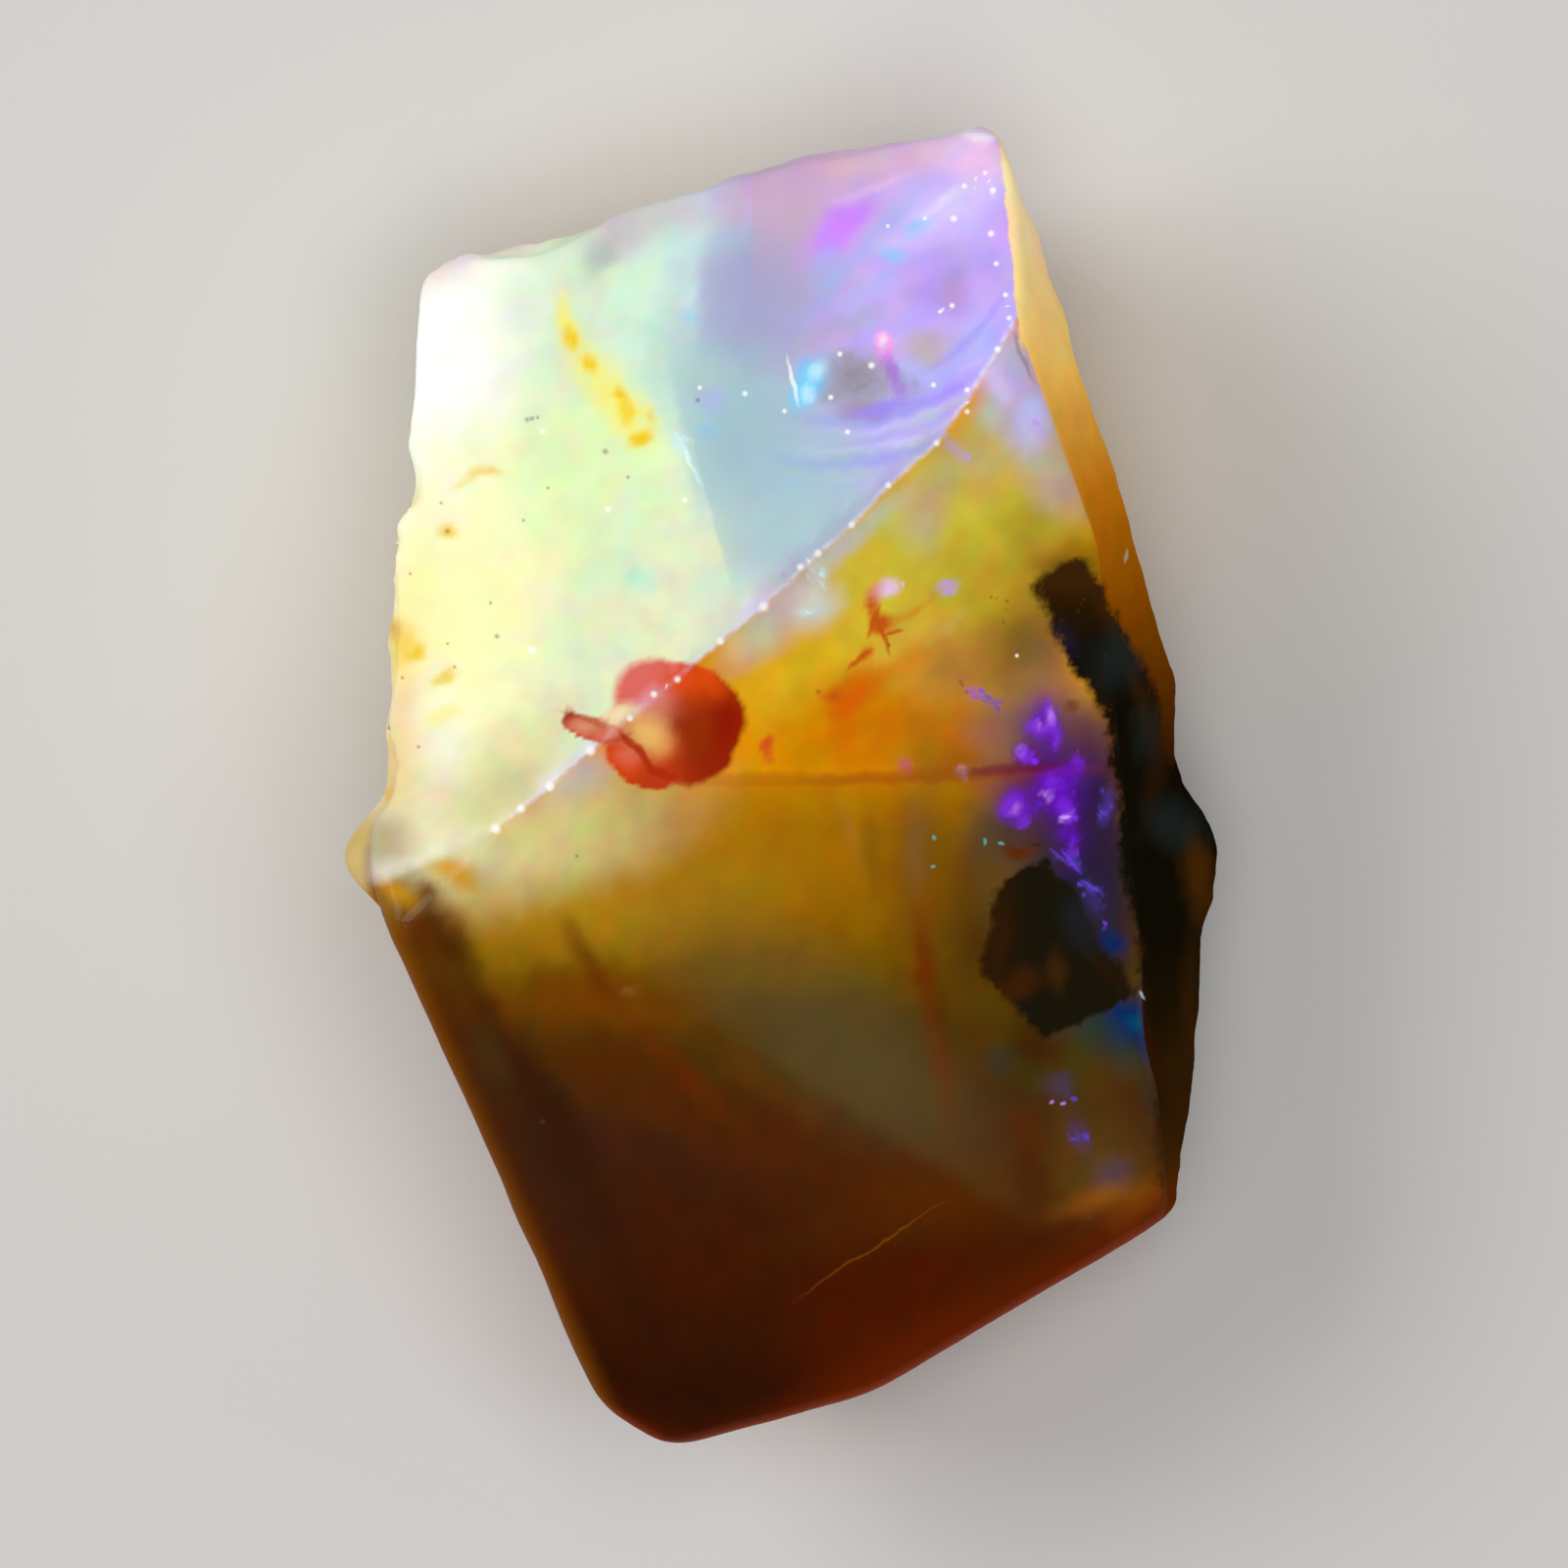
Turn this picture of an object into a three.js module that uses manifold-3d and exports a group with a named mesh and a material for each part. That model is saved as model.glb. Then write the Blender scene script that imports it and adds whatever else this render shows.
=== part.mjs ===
// A piece of rough fire opal, broken and sawn into a leaning block, lying on its flat sawn back.
// Millimetres, +Z up. The face that the light plays in looks up, the stone's long way runs along Y,
// and the origin is on the surface that it rests on, under the middle of the stone.
//
// The stone is cut the way a lapidary would square it up: a block loses everything beyond each of
// its faces, its edges are worn, its broken faces are made uneven, and flakes are struck off it.

import * as THREE from "three";
import { ImprovedNoise } from "three/addons/math/ImprovedNoise.js";
import { TessellateModifier } from "three/addons/modifiers/TessellateModifier.js";
import { mergeVertices } from "three/addons/utils/BufferGeometryUtils.js";
import Module from "manifold-3d";

const wasm = await Module();
wasm.setup();

// Driving dimensions: the block that the stone is cut from, and the height of the ridge between its
// two top faces at each end.
const LENGTH = 26;
const WIDTH = 17;
const RIDGE_LEFT_HEIGHT = 12.8;
const RIDGE_RIGHT_HEIGHT = 10.9;

// The length of the surface's facets, and how often they are evened out.
const FACET_LENGTH = 1.05;
const EVENING_ROUNDS = 6;

// How wide a bevel is worn along an edge, and how softly the bevel runs out. Beside an edge that is
// still sharp the wear fades away over a reach.
const BEVEL = 0.75;
const WEAR = 0.22;
const CRISP_WEAR = 0.05;
const CRISP_REACH = [0.4, 1.6];

// The unevenness of a broken face and of a sawn one, and the lengths of its waves.
const BROKEN = 0.34;
const SAWN = 0.07;
const LONG_WAVE = 3.6;
const SHORT_WAVE = 1.7;

const at = (x, y, z) => new THREE.Vector3(x, y, z);

// Corners of the stone's top. The ridge runs between the first two.
const RIDGE_LEFT = at(-5.6, -0.9, RIDGE_LEFT_HEIGHT);
const RIDGE_RIGHT = at(4.6, 8.8, RIDGE_RIGHT_HEIGHT);
const TOP_RIGHT = at(4.45, 11.6, 9.6);
const RIGHT_KNEE = at(5.9, 5.2, 9.8);
const RIGHT_FOOT = at(7.5, -8.5, 7.2);

// The edges that are still sharp: the ridge, and the two that meet it on the right.
const CRISP_EDGES = [
  new THREE.Line3(RIDGE_LEFT, RIDGE_RIGHT),
  new THREE.Line3(RIDGE_RIGHT, TOP_RIGHT),
  new THREE.Line3(RIDGE_RIGHT, RIGHT_KNEE),
];

// The way something looks: the bearing in plan, in degrees from +X, and the pitch above level.
function looking(bearing, pitch) {
  const [turn, rise] = [bearing, pitch].map(THREE.MathUtils.degToRad);
  return at(Math.cos(turn) * Math.cos(rise), Math.sin(turn) * Math.cos(rise), Math.sin(rise));
}

// A face through a point. A wall has a pitch near 0, and an undercut has one well below it.
const face = (point, bearing, pitch, uneven) => ({
  point,
  normal: looking(bearing, pitch),
  uneven,
});

// The two broad faces on each side of the ridge, and the steep sliver on the right. The edges
// between these three are still sharp.
const SHARP_FACES = [
  face(RIDGE_RIGHT, 115.3, 64.5, SAWN),
  face(RIDGE_RIGHT, -24.8, 68.5, SAWN),
  face(RIDGE_RIGHT, 13.4, 24, SAWN),
];

const FACES = [
  ...SHARP_FACES,
  // The dark skin below the sliver
  face(RIGHT_FOOT, 0.5, 27, BROKEN),
  // The walls, clockwise in plan from the top right
  face(at(4.65, 12.3, 7), 18.8, -2, BROKEN),
  face(at(8.8, -1.95, 4.8), -6.5, -2, BROKEN),
  face(at(3.95, -10.93, 6), -60.5, -4, SAWN),
  face(at(1.95, -12.22, 6), -76, -4, SAWN),
  face(at(-2.86, -12.9, 6), 237, -4, SAWN),
  face(at(-6.07, -6.75, 8), 204.4, -4, SAWN),
  face(at(-8.05, 1.9, 11), 177.6, -6, BROKEN),
  face(at(-3, 11.68, 8.2), 106, -7, BROKEN),
  face(at(2, 13, 8.6), 98, -6, BROKEN),
  // The undercuts that lead in to the back
  face(at(6.9, 6, 5), 17, -30, BROKEN),
  face(at(8.6, -3, 2.6), 2, -42, BROKEN),
  face(at(3, -11.4, 3.8), -64, -40, SAWN),
  face(at(-5.8, -6.6, 4.4), 207, -32, SAWN),
  face(at(-7.6, 3, 4.6), 179, -35, BROKEN),
  face(at(-1, 12, 3), 102, -38, BROKEN),
];

// Lumps that stand out of the rim: where they are, how far they stand out and how wide they are.
const LUMPS = [
  // The knob at the left end of the ridge, and the shoulder on the right
  { middle: at(-7.8, -1.3, 10.6), height: 0.75, reach: 0.85 },
  { middle: at(8.3, -2, 4.8), height: 0.3, reach: 1.5 },
];

// Flakes struck off the stone. Each leaves a round hollow: where its middle was, which way that
// place looks, and how wide and deep the hollow is.
const FLAKES = [
  // The hollow in the top edge that sets off the top left corner
  { middle: at(-5.1, 11.05, 8.2), bearing: 104, pitch: -6, width: 3.4, depth: 0.55 },
  // Bites along the left edge, from the notch under the corner down to the knob
  { middle: at(-7.85, 6.2, 10), bearing: 172, pitch: 8, width: 2, depth: 0.8 },
  { middle: at(-7.95, 2.9, 10.6), bearing: 178, pitch: 10, width: 3, depth: 0.15 },
  { middle: at(-8, 0, 11.2), bearing: 176, pitch: 10, width: 2, depth: 0.4 },
  // The waist of the right edge, and bites below the shoulder
  { middle: at(8.3, 0.1, 6.2), bearing: 14, pitch: 2, width: 2.8, depth: 0.3 },
  { middle: at(8.7, -3.1, 4.8), bearing: 0, pitch: 10, width: 1.5, depth: 0.4 },
  { middle: at(8.4, -6.6, 5), bearing: -4, pitch: 8, width: 1.8, depth: 0.3 },
  // Scars in the dark skin, on the top edge and on the long lower left edge
  { middle: at(7.7, -4.9, 6.6), bearing: 4, pitch: 34, width: 2.6, depth: 0.2 },
  { middle: at(0.9, 12.6, 8.6), bearing: 100, pitch: 30, width: 2.4, depth: 0.22 },
  { middle: at(-6.2, -6.5, 9.4), bearing: 204, pitch: 10, width: 4.4, depth: 0.25 },
  // The shallow bowl in the upper face
  { middle: at(1.5, 7.9, 10.65), bearing: 115, pitch: 64, width: 3.2, depth: 0.2 },
  // Broad scars on the walls and undercuts
  { middle: at(-7.5, 4.4, 6.6), bearing: 180, pitch: -8, width: 5, depth: 0.6 },
  { middle: at(1.6, 12.4, 5.6), bearing: 96, pitch: -8, width: 4.6, depth: 0.6 },
  { middle: at(5.9, 8, 4.8), bearing: 17, pitch: -14, width: 4, depth: 0.6 },
  { middle: at(7.4, -3.6, 1.6), bearing: 2, pitch: -42, width: 4.4, depth: 0.5 },
  { middle: at(-5.9, 6.2, 1.8), bearing: 170, pitch: -36, width: 4, depth: 0.5 },
];

// A closed three.js geometry as a solid.
function solid(geometry) {
  const bare = geometry.clone();
  bare.deleteAttribute("normal");
  bare.deleteAttribute("uv");
  const merged = mergeVertices(bare, 1e-4);
  return new wasm.Manifold(
    new wasm.Mesh({
      numProp: 3,
      vertProperties: new Float32Array(merged.attributes.position.array),
      triVerts: new Uint32Array(merged.index.array),
    }),
  );
}

// A solid as a three.js geometry.
function geometryOf(manifold) {
  const mesh = manifold.getMesh();
  const geometry = new THREE.BufferGeometry();
  geometry.setAttribute("position", new THREE.BufferAttribute(mesh.vertProperties, 3));
  geometry.setIndex(new THREE.BufferAttribute(mesh.triVerts, 1));
  return geometry;
}

// Everything beyond a face, as one big cube that lies on it.
function beyond({ point, normal }) {
  const reach = 3 * LENGTH;
  const turn = new THREE.Quaternion().setFromUnitVectors(at(0, 0, 1), normal);
  const cube = new THREE.BoxGeometry(reach, reach, reach).translate(0, 0, reach / 2);
  return solid(cube.applyQuaternion(turn).translate(point.x, point.y, point.z));
}

// Takes off a solid everything beyond each of the faces.
const cutBack = (block, faces) => faces.reduce((stone, one) => stone.subtract(beyond(one)), block);

// The points of a geometry, each one once.
function pointsOf(geometry) {
  const places = mergeVertices(geometry, 1e-4).attributes.position;
  return Array.from({ length: places.count }, (_, i) => at(0, 0, 0).fromBufferAttribute(places, i));
}

// How far out of a face a point lies.
const gapTo = (one, point) => point.clone().sub(one.point).dot(one.normal);

// Which of the faces a point lies on.
const facesAt = (point, faces) => faces.filter((one) => Math.abs(gapTo(one, point)) < 1e-3);

// The bevels that wear leaves along the edges of the block, but for those that are still sharp.
function bevels(block) {
  const corners = pointsOf(geometryOf(block)).map((point) => ({
    point,
    meets: facesAt(point, FACES),
  }));
  const found = [];
  FACES.forEach((a, i) => {
    for (const b of FACES.slice(i + 1)) {
      if (SHARP_FACES.includes(a) && SHARP_FACES.includes(b)) continue;
      const ends = corners.filter(({ meets }) => meets.includes(a) && meets.includes(b));
      if (ends.length < 2) continue;
      const normal = a.normal.clone().add(b.normal).normalize();
      const depth = (BEVEL / 2) * Math.tan(a.normal.angleTo(b.normal) / 2);
      const point = ends[0].point.clone().addScaledVector(normal, -depth);
      found.push({ point, normal, uneven: (a.uneven + b.uneven) / 2 });
    }
  });
  return found;
}

// The points that each point of a mesh shares an edge with.
function neighbours(geometry) {
  const near = Array.from({ length: geometry.attributes.position.count }, () => new Set());
  const corners = geometry.index.array;
  for (let i = 0; i < corners.length; i += 3) {
    const [a, b, c] = corners.slice(i, i + 3);
    near[a].add(b).add(c);
    near[b].add(c).add(a);
    near[c].add(a).add(b);
  }
  return near;
}

// The cut block's surface in facets of about one length. Each point inside a face slides to the
// middle of its neighbours, and one on an edge slides along the edge, so the block keeps its shape.
function divided(geometry, faces) {
  const split = new TessellateModifier(FACET_LENGTH, 24).modify(geometry.toNonIndexed());
  const fine = mergeVertices(split, 1e-4);
  const points = pointsOf(fine);
  const on = points.map((point) => facesAt(point, faces));
  const near = neighbours(fine).map((all, i) =>
    [...all].filter((j) => on[i].every((one) => on[j].includes(one))),
  );
  for (let round = 0; round < EVENING_ROUNDS; round++) {
    points.forEach((point, i) => {
      if (on[i].length > 2 || !near[i].length) return;
      point.set(0, 0, 0);
      near[i].forEach((j) => point.addScaledVector(points[j], 1 / near[i].length));
    });
  }
  points.forEach(({ x, y, z }, i) => fine.attributes.position.setXYZ(i, x, y, z));
  return fine;
}

// How softly the stone's edges run out at a point: hardly at all beside an edge still sharp.
function wearAt(point) {
  const gaps = CRISP_EDGES.map((edge) =>
    edge.closestPointToPoint(point, true, at(0, 0, 0)).distanceTo(point),
  );
  const worn = THREE.MathUtils.smoothstep(Math.min(...gaps), ...CRISP_REACH);
  return THREE.MathUtils.lerp(CRISP_WEAR, WEAR, worn);
}

// The ball whose cap is as wide and deep as a flake's hollow.
function ballOf({ middle, bearing, pitch, width, depth }) {
  const radius = width ** 2 / (8 * depth) + depth / 2;
  return { centre: middle.clone().addScaledVector(looking(bearing, pitch), radius - depth), radius };
}

const HOLLOWS = FLAKES.map(ballOf);

// The worn surface near a point: how far out of it the point lies, which way it looks there and
// how uneven it is. It is a smooth maximum of how far the point lies out of each face and hollow.
function surfaceAt(point, faces) {
  const wear = wearAt(point);
  const outward = at(0, 0, 0);
  let total = 0;
  let uneven = 0;
  const weigh = (gap, normal, roughness) => {
    const share = Math.exp(gap / wear);
    outward.addScaledVector(normal, share);
    uneven += roughness * share;
    total += share;
  };
  faces.forEach((one) => weigh(gapTo(one, point), one.normal, one.uneven));
  HOLLOWS.forEach(({ centre, radius }) => {
    const inward = centre.clone().sub(point);
    weigh(radius - inward.length(), inward.normalize(), SAWN);
  });
  const steepness = outward.length() / total;
  return {
    gap: (wear * Math.log(total)) / steepness,
    outward: outward.normalize(),
    uneven: uneven / total,
  };
}

// Moves a point of the cut block onto the worn stone, and then in or out with its unevenness.
function weather(point, faces, noise) {
  for (let step = 0; step < 3; step++) {
    const { gap, outward } = surfaceAt(point, faces);
    point.addScaledVector(outward, -gap);
  }
  const { outward, uneven } = surfaceAt(point, faces);
  const wave = (length) => noise.noise(point.x / length, point.y / length, point.z / length);
  const swell = uneven * (wave(LONG_WAVE) + 0.5 * wave(SHORT_WAVE));
  const lump = ({ middle, height, reach }) =>
    height * Math.exp(-((point.distanceTo(middle) / reach) ** 2));
  return point.addScaledVector(outward, LUMPS.reduce((sum, one) => sum + lump(one), swell));
}

function stoneGeometry() {
  const sawKerf = 2;
  const height = RIDGE_LEFT_HEIGHT + 2 * sawKerf;
  const block = new THREE.BoxGeometry(WIDTH + 2 * sawKerf, LENGTH + 2 * sawKerf, height);
  block.translate(0, 0, height / 2 - sawKerf);
  const cut = cutBack(solid(block), FACES);
  const worn = bevels(cut);
  const faces = [...FACES, ...worn];
  const stone = divided(geometryOf(cutBack(cut, worn)), faces);
  const places = stone.attributes.position;
  const noise = new ImprovedNoise();
  for (let i = 0; i < places.count; i++) {
    const { x, y, z } = weather(at(0, 0, 0).fromBufferAttribute(places, i), faces, noise);
    places.setXYZ(i, x, y, z);
  }
  // The back is sawn flat last, and the stone is put with its middle over the origin.
  const back = { point: at(0, 0, 0), normal: at(0, 0, -1) };
  const lying = geometryOf(cutBack(solid(stone), [back]));
  lying.computeBoundingBox();
  const middle = lying.boundingBox.getCenter(at(0, 0, 0));
  return lying.translate(-middle.x, -middle.y, 0);
}

const opal = new THREE.Mesh(
  stoneGeometry(),
  new THREE.MeshStandardMaterial({ color: 0xc98a2e, roughness: 0.3, metalness: 0 }),
);
opal.name = "rough_fire_opal";

const specimen = new THREE.Group();
specimen.add(opal);

export default specimen;
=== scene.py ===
# %% [markdown]
# A piece of rough fire opal, made as a lesson in Blender.
# The stone was broken and sawn out of its rock, so it is a leaning block: two broad faces meet at a
# slanting ridge, a steep sliver and a dark skin of old rock run down its right side, and uneven broken
# walls go round it. It lies on its flat sawn back and is seen from straight above.
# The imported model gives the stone's size and place. It is loaded first, and the finished stone has to
# lie inside its box.

# %% The frame
import math

import bmesh
import bpy
import numpy as np
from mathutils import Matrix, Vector, noise


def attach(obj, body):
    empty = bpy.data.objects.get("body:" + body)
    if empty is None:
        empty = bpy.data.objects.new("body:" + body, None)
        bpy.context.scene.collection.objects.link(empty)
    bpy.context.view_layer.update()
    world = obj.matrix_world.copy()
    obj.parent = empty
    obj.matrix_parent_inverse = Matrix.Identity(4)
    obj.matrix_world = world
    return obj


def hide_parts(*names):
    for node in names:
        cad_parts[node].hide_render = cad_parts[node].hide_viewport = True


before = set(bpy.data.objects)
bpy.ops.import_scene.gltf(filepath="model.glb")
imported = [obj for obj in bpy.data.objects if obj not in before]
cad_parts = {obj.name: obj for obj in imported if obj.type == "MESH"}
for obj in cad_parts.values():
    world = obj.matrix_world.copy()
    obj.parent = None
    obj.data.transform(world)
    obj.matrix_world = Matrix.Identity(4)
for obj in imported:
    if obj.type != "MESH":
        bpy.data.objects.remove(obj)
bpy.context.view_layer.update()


# %% [markdown]
# Mesh tools are made for things about a metre long: they merge points that lie closer than a
# tenth of a millimetre. This stone is 26 mm long, so it is modelled a thousand times larger, with one
# unit to a millimetre, and shrunk to its real size when its shape is done.
# The faces are written down the way a cutter would: a point that the face goes through, the bearing
# that it looks towards in plan, in degrees from +X, and its pitch above level. A wall has a pitch near
# zero, and an undercut has one well below it.

# %% The faces of the block
LENGTH = 26
WIDTH = 17
RIDGE_LEFT = Vector((-5.6, -0.9, 12.8))
RIDGE_RIGHT = Vector((4.6, 8.8, 10.9))
RIGHT_FOOT = Vector((7.5, -8.5, 7.2))


def looking(bearing, pitch):
    turn, rise = math.radians(bearing), math.radians(pitch)
    return Vector((math.cos(turn) * math.cos(rise), math.sin(turn) * math.cos(rise), math.sin(rise)))


def face(kind, point, bearing, pitch):
    return {"kind": kind, "point": Vector(point), "normal": looking(bearing, pitch)}


UPPER = face("smooth", RIDGE_RIGHT, 115.3, 64.5)
LOWER = face("smooth", RIDGE_RIGHT, -24.8, 68.5)
SLIVER = face("smooth", RIDGE_RIGHT, 13.4, 24)
SKIN = face("skin", RIGHT_FOOT, 0.5, 27)
TOPS = [UPPER, LOWER, SLIVER, SKIN]

# The walls, clockwise in plan from the top right, and then the undercuts that lead in to the back.
WALLS = [
    face("broken", (4.47, 12.24, 7), 18.8, -2),
    face("broken", (8.62, -1.95, 4.8), -6.5, -2),
    face("sawn", (3.83, -10.7, 6), -60.5, -4),
    face("sawn", (1.87, -11.87, 6), -76, -4),
    face("sawn", (-2.7, -12.65, 6), 237, -4),
    face("sawn", (-5.93, -6.68, 8), 202.6, -4),
    face("broken", (-8.22, 1.9, 11), 177.6, -6),
    face("broken", (-3, 11.68, 8.2), 106, -7),
    face("broken", (2, 12.9, 8.6), 98, -6),
    face("broken", (6.9, 6, 5), 17, -30),
    face("broken", (8.6, -3, 2.6), 2, -42),
    face("sawn", (3, -11.4, 3.8), -64, -40),
    face("sawn", (-5.8, -6.6, 4.4), 207, -32),
    face("broken", (-7.6, 3, 4.6), 179, -35),
    face("broken", (-1, 12, 3), 102, -38),
]
print(len(TOPS), "top faces,", len(WALLS), "walls and undercuts")

# %% [markdown]
# The block could be built from its corners, but their places would have to be worked out first. It is
# easier to do what the saw did: start from a cube that is a little too large, and cut off all that
# lies beyond each face. Bisect does that, with the cut filled and the outer side cleared.

# %% Cutting the block
KERF = 2


def deselect():
    bpy.ops.object.select_all(action="DESELECT")


def cut_beyond(point, normal):
    bpy.ops.mesh.select_all(action="SELECT")
    bpy.ops.mesh.bisect(plane_co=point, plane_no=normal, use_fill=True, clear_outer=True, threshold=1e-5)


height = RIDGE_LEFT.z + 2 * KERF
deselect()
bpy.ops.mesh.primitive_cube_add(
    size=1,
    location=(0, 0, height / 2 - KERF),
    scale=(WIDTH + 2 * KERF, LENGTH + 2 * KERF, height),
)
stone = bpy.context.object
stone.name = "fire_opal"
bpy.ops.object.transform_apply(location=True, rotation=True, scale=True)
bpy.ops.object.mode_set(mode="EDIT")
for one in TOPS + WALLS:
    cut_beyond(one["point"], one["normal"])
bpy.ops.object.mode_set(mode="OBJECT")
print("the block has", len(stone.data.polygons), "faces")

# %% [markdown]
# Handling wears a stone's edges. The three edges between the smooth faces have stayed sharp, and all
# others are rounded. An edge is picked by the two faces that it parts: a face's name follows from
# its normal.

# %% Wearing the edges
WORN = 0.5
STILL_SHARP = [UPPER, LOWER, SLIVER]


def face_along(normal):
    return max(TOPS + WALLS, key=lambda one: one["normal"].dot(normal))


bpy.ops.object.mode_set(mode="EDIT")
bpy.ops.mesh.select_mode(type="EDGE")
bpy.ops.mesh.select_all(action="DESELECT")
mesh = bmesh.from_edit_mesh(stone.data)
for edge in mesh.edges:
    parted = [face_along(side.normal) for side in edge.link_faces]
    edge.select = not all(one in STILL_SHARP for one in parted)
bmesh.update_edit_mesh(stone.data)
bpy.ops.mesh.bevel(offset=WORN, segments=4, profile=0.5, affect="EDGES", clamp_overlap=True)
bpy.ops.object.mode_set(mode="OBJECT")
print("with its edges worn it has", len(stone.data.polygons), "faces")

# %% [markdown]
# Opal breaks like glass. A blow takes off a flake and leaves a smooth, round, shallow hollow. Each
# hollow is cut with a ball by a boolean: its place, the way it looks, and its width and depth give
# the ball.

# %% Striking off the flakes
FLAKES = [
    # The hollow in the top edge that sets off the top left corner
    ((-5.1, 11.05, 8.2), 104, -6, 3.4, 0.55),
    # Bites along the left edge, from the notch under the corner down to the knob
    ((-7.7, 6, 9.6), 172, 8, 1.5, 0.45),
    ((-7.65, 6, 8.2), 172, 0, 1.6, 0.42),
    ((-7.55, 6, 6.8), 172, -6, 1.6, 0.34),
    ((-7.95, 2.9, 10.6), 178, 10, 3, 0.15),
    ((-8, 0, 11.2), 176, 10, 2, 0.4),
    # The waist of the right edge, and bites below the shoulder
    ((8.2, 0.5, 6), 14, 2, 3.2, 0.5),
    ((8.1, 0.6, 4.2), 14, -6, 3, 0.45),
    ((8.7, -3.1, 4.8), 0, 10, 1.5, 0.4),
    ((8.4, -6.6, 5), -4, 8, 1.8, 0.3),
    # Scars in the dark skin and on the top edge
    ((7.7, -4.9, 6.6), 4, 34, 2.6, 0.2),
    ((0.9, 12.6, 8.6), 100, 30, 2.4, 0.22),
    # The shallow bowl in the upper face
    ((1.5, 7.9, 10.65), 115, 64, 3.2, 0.12),
    # Broad scars on the walls and undercuts
    ((-7.5, 4.4, 6.6), 180, -8, 5, 0.6),
    ((1.6, 12.4, 5.6), 96, -8, 4.6, 0.6),
    ((5.9, 8, 4.8), 17, -14, 4, 0.6),
    ((7.4, -3.6, 1.6), 2, -42, 4.4, 0.5),
    ((-5.9, 6.2, 1.8), 170, -36, 4, 0.5),
]


def subtract(cutter, overlapping=False):
    """Takes a cutter off the stone by a boolean, and throws the cutter away."""
    deselect()
    stone.select_set(True)
    bpy.context.view_layer.objects.active = stone
    cut = stone.modifiers.new("cut", "BOOLEAN")
    cut.operation = "DIFFERENCE"
    cut.solver = "EXACT"
    cut.use_self = overlapping
    cut.object = cutter
    bpy.ops.object.modifier_apply(modifier=cut.name)
    bpy.data.objects.remove(cutter)


for middle, bearing, pitch, width, depth in FLAKES:
    radius = width**2 / (8 * depth) + depth / 2
    centre = Vector(middle) + looking(bearing, pitch) * (radius - depth)
    deselect()
    bpy.ops.mesh.primitive_uv_sphere_add(segments=64, ring_count=32, radius=radius, location=centre)
    subtract(bpy.context.object)
print(len(FLAKES), "flakes struck off")

# %% [markdown]
# Where the edges were struck again and again, they are chipped: the rims are serrated, and the ridge
# is crushed along its whole length. The chips are too many to place one by one, so they are drawn at
# random along a few lines, with a fixed seed so that the stone is the same each time. Coarse
# icospheres cut them, because their flat sides leave the facets that a real chip has.

# %% Chipping the rims
rng = np.random.default_rng(26)

# A chipped line: its two ends, the number of chips and their smallest and largest radius
CHIPPED = [
    (RIDGE_LEFT, RIDGE_RIGHT, 24, 0.08, 0.16),
    (RIDGE_RIGHT, (4.45, 12, 9.6), 16, 0.08, 0.2),
    ((-7.8, 5.4, 10), (-7.85, 0.2, 11), 26, 0.12, 0.28),
    ((-7.8, 5.4, 9), (-7.85, 0.2, 10), 20, 0.12, 0.26),
    ((-6.8, 10.2, 8.9), (3.2, 12.9, 9.2), 14, 0.14, 0.3),
    ((8.6, -3, 5.2), (7.9, -8.4, 5.8), 12, 0.16, 0.36),
    ((5.6, 7.6, 8.2), (7.9, 0.6, 7), 8, 0.12, 0.24),
]
SPREAD = 0.08


def chip(place, radius):
    bpy.ops.mesh.primitive_ico_sphere_add(subdivisions=1, radius=radius, location=place)
    made = bpy.context.object
    made.rotation_euler = rng.uniform(0, math.tau, 3)
    return made


deselect()
chips = []
for start, end, count, smallest, largest in CHIPPED:
    for i in range(count):
        along = (i + rng.uniform(0.1, 0.9)) / count
        place = Vector(start).lerp(Vector(end), along) + Vector(rng.normal(0, SPREAD, 3))
        chips.append(chip(place, rng.uniform(smallest, largest)))
deselect()
for one in chips:
    one.select_set(True)
bpy.context.view_layer.objects.active = chips[0]
bpy.ops.object.join()
subtract(bpy.context.object, overlapping=True)
print(len(chips), "chips along", len(CHIPPED), "rims leave", len(stone.data.polygons), "faces")

# %% [markdown]
# So far the stone is made of a few large faces, with too few points to carry a broken surface. A
# voxel remesh lays an even skin of small squares over it. It also softens each edge a little, which
# is what wear does.

# %% An even skin
VOXEL = 0.127

deselect()
stone.select_set(True)
bpy.context.view_layer.objects.active = stone
skin = stone.modifiers.new("skin", "REMESH")
skin.mode = "VOXEL"
skin.voxel_size = VOXEL
bpy.ops.object.modifier_apply(modifier=skin.name)


def rubbed(iterations):
    """Rubs off the small steps of the skin."""
    smooth = stone.modifiers.new("rubbed", "SMOOTH")
    smooth.factor = 0.5
    smooth.iterations = iterations
    bpy.ops.object.modifier_apply(modifier=smooth.name)


rubbed(14)
print("the skin has", len(stone.data.vertices), "points")

# %% [markdown]
# Two lumps stand out of the rim: the knob at the left end of the ridge, and the shoulder on the right.
# They are pulled out of the skin by proportional editing, which is how one would raise them by hand:
# the points nearest to the middle move all the way, and those round them less and less.

# %% Raising the lumps
LUMPS = [
    ((-7.8, -1.3, 10.6), (-0.62, -0.1, 0.12), 1.7),
    ((8.4, -1.9, 4.8), (0.1, -0.1, 0), 1.4),
]


def points_of(thing):
    places = np.empty(len(thing.data.vertices) * 3)
    thing.data.vertices.foreach_get("co", places)
    return places.reshape(-1, 3)


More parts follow.
